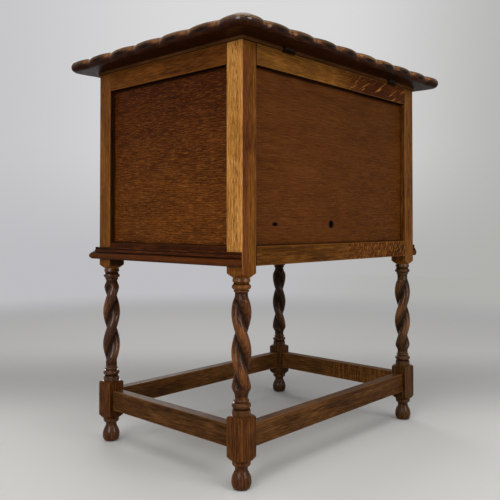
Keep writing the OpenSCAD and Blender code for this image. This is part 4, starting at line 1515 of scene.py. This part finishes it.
def lid_oak():
    """The lid: shade painted near black underneath, lit brown lobes, amber rubs and highlights."""
    wood = Wood("lid_oak", "x", LID_TONES, LID_SEED, figure=0.85, fibre=LID_FIBRE, gloss=0.36)
    open_pores(wood, 0.6)
    # From -1 at the underside to 1 on top
    height = (wood.parts["z"] - LID_MIDDLE) / LID_NOSE
    # Darker below the nose's middle and lighter above: painted shade and painted light
    nose = height.fade(-0.15, 0.45)
    wood.colour = nose.blend(wood.ramp(SHADED_UNDER_TONES), wood.ramp(LIT_LOBE_TONES))
    wood.repaint(height.fade(0.9, 0.99), LID_TONES)
    hollow = wood.attribute("hollow")
    crest = wood.attribute("crest")
    band = height.fade(-0.25, 0.05) * height.fade(0.7, 0.4)
    ends = crest.fade(0.05, 0.25) * crest.fade(0.75, 0.45)
    # Amber at the ends of the lobes: rubbed wood and painted highlight
    wood.stain(band * ends * wood.fibres.fade(0.35, 0.65) * 0.55, AMBER_WEAR_AND_HIGHLIGHT)
    # Dark in each scoop: old wax and painted shade
    wood.stain(hollow.fade(0.15, 0.85) * 0.94, GOUGE_WAX_AND_SHADE)
    wood.roughness = wood.roughness + hollow * 0.25
    corner = abs(wood.parts["x"]).fade(CORNER_WAX.x - POLISH_REACH, CORNER_WAX.x)
    corner = corner * abs(wood.parts["y"]).fade(CORNER_WAX.y - POLISH_REACH, CORNER_WAX.y)
    waxed = height.fade(-0.6, 0.0) * (1 - hollow * 0.85) * (0.3 + corner * 0.4)
    return wood.finish(coat=waxed, shine=0.04)


join_frame(lid, "lid", lid_oak(), "lid")
print("lid waxed beyond", [round(value, 3) for value in CORNER_WAX])

# %% [markdown]
# ## Hinges
# The hinges, pins and screws are brass that has gone brown and dull. Their solids are right
# as they are, so they only get a finish. Plain gold paint would look new. Two noises do
# better: slow stains between brown and black, and fine scuffs where metal shows.

# %% Aged brass
METAL = ("leaves", "pins", "screws")


def aged_brass():
    """Brass gone brown and dull, brighter where hands and screwdrivers rub it."""
    material, pen = begin_finish("aged_brass")
    place = pen.node("ShaderNodeTexCoord", output="Object")
    stains = streaks(place, "x", 4 * MM, 4 * MM, 3)
    scuffs = streaks(place, "x", 6 * MM, 0.5 * MM, 4)
    colour = stains.fade(0.35, 0.65).blend(paint(10, 7, 5), paint(40, 28, 16))
    colour = (scuffs.fade(0.6, 0.7) * 0.5).blend(colour, paint(120, 94, 56))
    normal = pen.node(
        "ShaderNodeBump", {}, {"Strength": 0.2, "Distance": 0.1 * MM, "Height": scuffs}
    )
    end_finish(pen, {
        "Base Color": colour, "Metallic": 0.8, "Roughness": 0.36 + stains * 0.25,
        "Normal": normal,
    })
    return material


brass = aged_brass()
metal_nodes = [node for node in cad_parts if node.endswith(METAL)]
for node in metal_nodes:
    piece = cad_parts[node]
    piece.data.materials.clear()
    piece.data.materials.append(brass)
print("metal dressed", len(metal_nodes))

# %% [markdown]
# ## Backdrop
# The cabinet stands on pale paper in front of a grey backdrop, which is lighter in the middle
# and darker towards the floor and to the right. A curved sheet of geometry could be built,
# but then it would shade the object and show its edge from other sides. So the backdrop is
# only a colour for each direction, shared by the far floor and the world.

# %% Colour of the backdrop
# The direction that counts as rightward, and greys with the steps between them
RIGHT_Y = 0.74
RIGHT_X = 0.68
HORIZON = (-0.06, 0.13)


def grey(level, blue=1.0):
    """A grey, its blue raised or lowered by that factor."""
    return (level, level, level * blue, 1.0)


def backdrop_colour(toward):
    """The pale backdrop by direction: a little darker towards the floor and to the right."""
    rightward = toward["y"] * RIGHT_Y - toward["x"] * RIGHT_X
    upper = rightward.fade(-0.05, -0.42).blend(grey(0.70), grey(0.555, 1.04))
    upper = rightward.fade(0.10, 0.42).blend(upper, grey(0.45, 0.98))
    lower = rightward.fade(-0.1, 0.4).blend(grey(0.51, 1.04), grey(0.432, 0.96))
    return toward["z"].fade(*HORIZON).blend(lower, upper)


print("backdrop from", grey(0.432, 0.96)[:3], "to", grey(0.70)[:3])

# %% [markdown]
# ## Floor
# The floor catches the shadow, so near the cabinet it is a diffuse sheet. Its paper is
# painted lighter towards the camera, with a painted shaded stretch behind the cabinet. Further
# out its edge would show against the backdrop. There the camera sees a glow in the backdrop's
# own colour, while all other rays still meet plain paper, so no extra light falls on the wood.

# %% Paper that fades away
FLOOR_R = 4.0
FLOOR_SIDES = 96
# Distances from the middle at which the glow takes over and turns to the backdrop's colour
GLOW_START = 0.85
GLOW_FULL = 2.2
SWEEP_START = 1.7
SWEEP_FULL = 2.7
FAR_FLOOR = grey(0.385)
# The backdrop's horizon is seen this much higher than the floor
HORIZON_LIFT = 0.08
# The direction towards the camera, and on it the painted shaded stretch and the passage of the
# paper, which is painted lighter towards the camera
NEAR_X = 0.74
NEAR_Y = 0.67
SHADE_AT = -0.42
SHADE_HALF = 0.42
PAPER_NEAR = 0.3
PAPER_FAR = -0.6
NEAR_PAPER = (0.455, 0.45, 0.437, 1)
FAR_PAPER = (0.352, 0.348, 0.34, 1)
SHADED_PAPER = (0.27, 0.267, 0.26, 1)


def floor_paper():
    """Diffuse paper with painted light and shade near the cabinet, glowing like the backdrop far
    away.
    """
    material, pen = begin_finish("floor_paper")
    parts = pen.node("ShaderNodeTexCoord", output="Object").parts()
    radius = (parts["x"] * parts["x"] + parts["y"] * parts["y"]) ** 0.5
    nearer = parts["x"] * NEAR_X + parts["y"] * NEAR_Y
    shade = abs(nearer - SHADE_AT).fade(SHADE_HALF, 0.0)
    sheet = nearer.fade(PAPER_NEAR, PAPER_FAR).blend(NEAR_PAPER, FAR_PAPER)
    paper = pen.node(
        "ShaderNodeBsdfDiffuse", {}, {"Color": shade.blend(sheet, SHADED_PAPER)}
    )
    toward = {
        "x": parts["x"] / radius, "y": parts["y"] / radius, "z": parts["z"] - HORIZON_LIFT,
    }
    swept = radius.fade(SWEEP_START, SWEEP_FULL).blend(FAR_FLOOR, backdrop_colour(toward))
    glow = pen.node("ShaderNodeEmission", {}, {"Color": swept})
    seen = pen.node("ShaderNodeLightPath", output="Is Camera Ray")
    factor = radius.fade(GLOW_START, GLOW_FULL) * seen
    mixed = pen.node("ShaderNodeMixShader", {}, {0: factor, 1: paper, 2: glow})
    pen.node("ShaderNodeOutputMaterial", {}, {"Surface": mixed})
    return material


disc = bmesh.new()
bmesh.ops.create_circle(disc, cap_ends=True, segments=FLOOR_SIDES, radius=FLOOR_R)
floor = close_mesh(disc, "floor")
floor.data.materials.append(floor_paper())
print("floor", 2 * FLOOR_R, "m across")

# %% [markdown]
# ## World
# In a studio the walls fill the shadows. The world is an even white fill for the wood, and
# shows the backdrop to the camera and to shiny or clear surfaces, so that wax and brass
# mirror what stands around them. One Mix Shader chooses between the two by the kind of ray.

# %% Fill and backdrop
FILL = 0.5
world = bpy.data.worlds.new("studio")
bpy.context.scene.world = world
world.use_nodes = True
world.node_tree.nodes.clear()
pen = Socket(world.node_tree)
rays = pen.node("ShaderNodeLightPath").output.node
seen = Socket(pen.tree, rays.outputs["Is Camera Ray"])
for name in ("Is Glossy Ray", "Is Transmission Ray"):
    seen = seen.most(Socket(pen.tree, rays.outputs[name]))
toward = pen.node("ShaderNodeTexCoord", output="Generated").parts()
lit = pen.node("ShaderNodeBackground", {}, {"Color": (1, 1, 1, 1), "Strength": FILL})
shown = pen.node("ShaderNodeBackground", {}, {"Color": backdrop_colour(toward), "Strength": 1.0})
both = pen.node("ShaderNodeMixShader", {}, {0: seen, 1: lit, 2: shown})
pen.node("ShaderNodeOutputWorld", {}, {"Surface": both})
print("world fills at", FILL)

# %% [markdown]
# ## Lamps
# Soft daylight comes from above and from all sides, so shadows are faint. Small lamps would
# draw hard edges under the lid. Four wide squares stand in for the windows, and the camera
# doesn't see them. Their power is set so that a colour shows about as it was painted.

# %% Four soft windows
TARGET = Vector((0, 0, 0.4))
# Each lamp: place, size in metres and power in watts
WINDOWS = {
    "overhead": ((0.2, 0.2, 2.9), 2.6, 55),
    "side_window": ((3.0, 0.6, 1.5), 1.6, 52),
    "back_window": ((-0.2, 3.0, 1.5), 1.6, 50),
    "front_window": ((-1.5, -2.8, 1.3), 1.6, 34),
}


def soft_lamp(name, place, size, power):
    """A large square lamp that faces the cabinet."""
    data = bpy.data.lights.new(name, "AREA")
    data.shape = "SQUARE"
    data.size = size
    data.energy = power
    lamp = bpy.data.objects.new(name, data)
    bpy.context.scene.collection.objects.link(lamp)
    lamp.location = place
    lamp.rotation_euler = (TARGET - Vector(place)).to_track_quat("-Z", "Y").to_euler()
    lamp.visible_camera = False


for name, (place, size, power) in WINDOWS.items():
    soft_lamp(name, place, size, power)
print("lamps", list(WINDOWS))

# %% [markdown]
# ## Camera
# The cabinet is seen from behind, towards its right back post, from about two fifths of a
# metre above the floor. The camera could be aimed by a constraint, but plain angles are
# easier to check: it looks almost level, and a vertical shift of the lens keeps the upright
# edges nearly parallel while the feet come into view.

# %% Place and lens
CAMERA_PLACE = (0.9710, 0.8511, 0.3998)
CAMERA_YAW = 132.51
CAMERA_PITCH = 0.96
CAMERA_LENS = 47.04
CAMERA_SHIFT = -0.072
camera_data = bpy.data.cameras.new("camera")
camera_data.lens = CAMERA_LENS
camera_data.sensor_width = 36
camera_data.shift_y = CAMERA_SHIFT
camera = bpy.data.objects.new("camera", camera_data)
bpy.context.scene.collection.objects.link(camera)
camera.location = CAMERA_PLACE
camera.rotation_euler = (math.radians(90 + CAMERA_PITCH), 0, math.radians(CAMERA_YAW))
bpy.context.scene.camera = camera
bpy.context.scene.view_settings.view_transform = "Standard"
print("camera", round(math.hypot(*CAMERA_PLACE[:2]), 2), "m from the cabinet's middle")
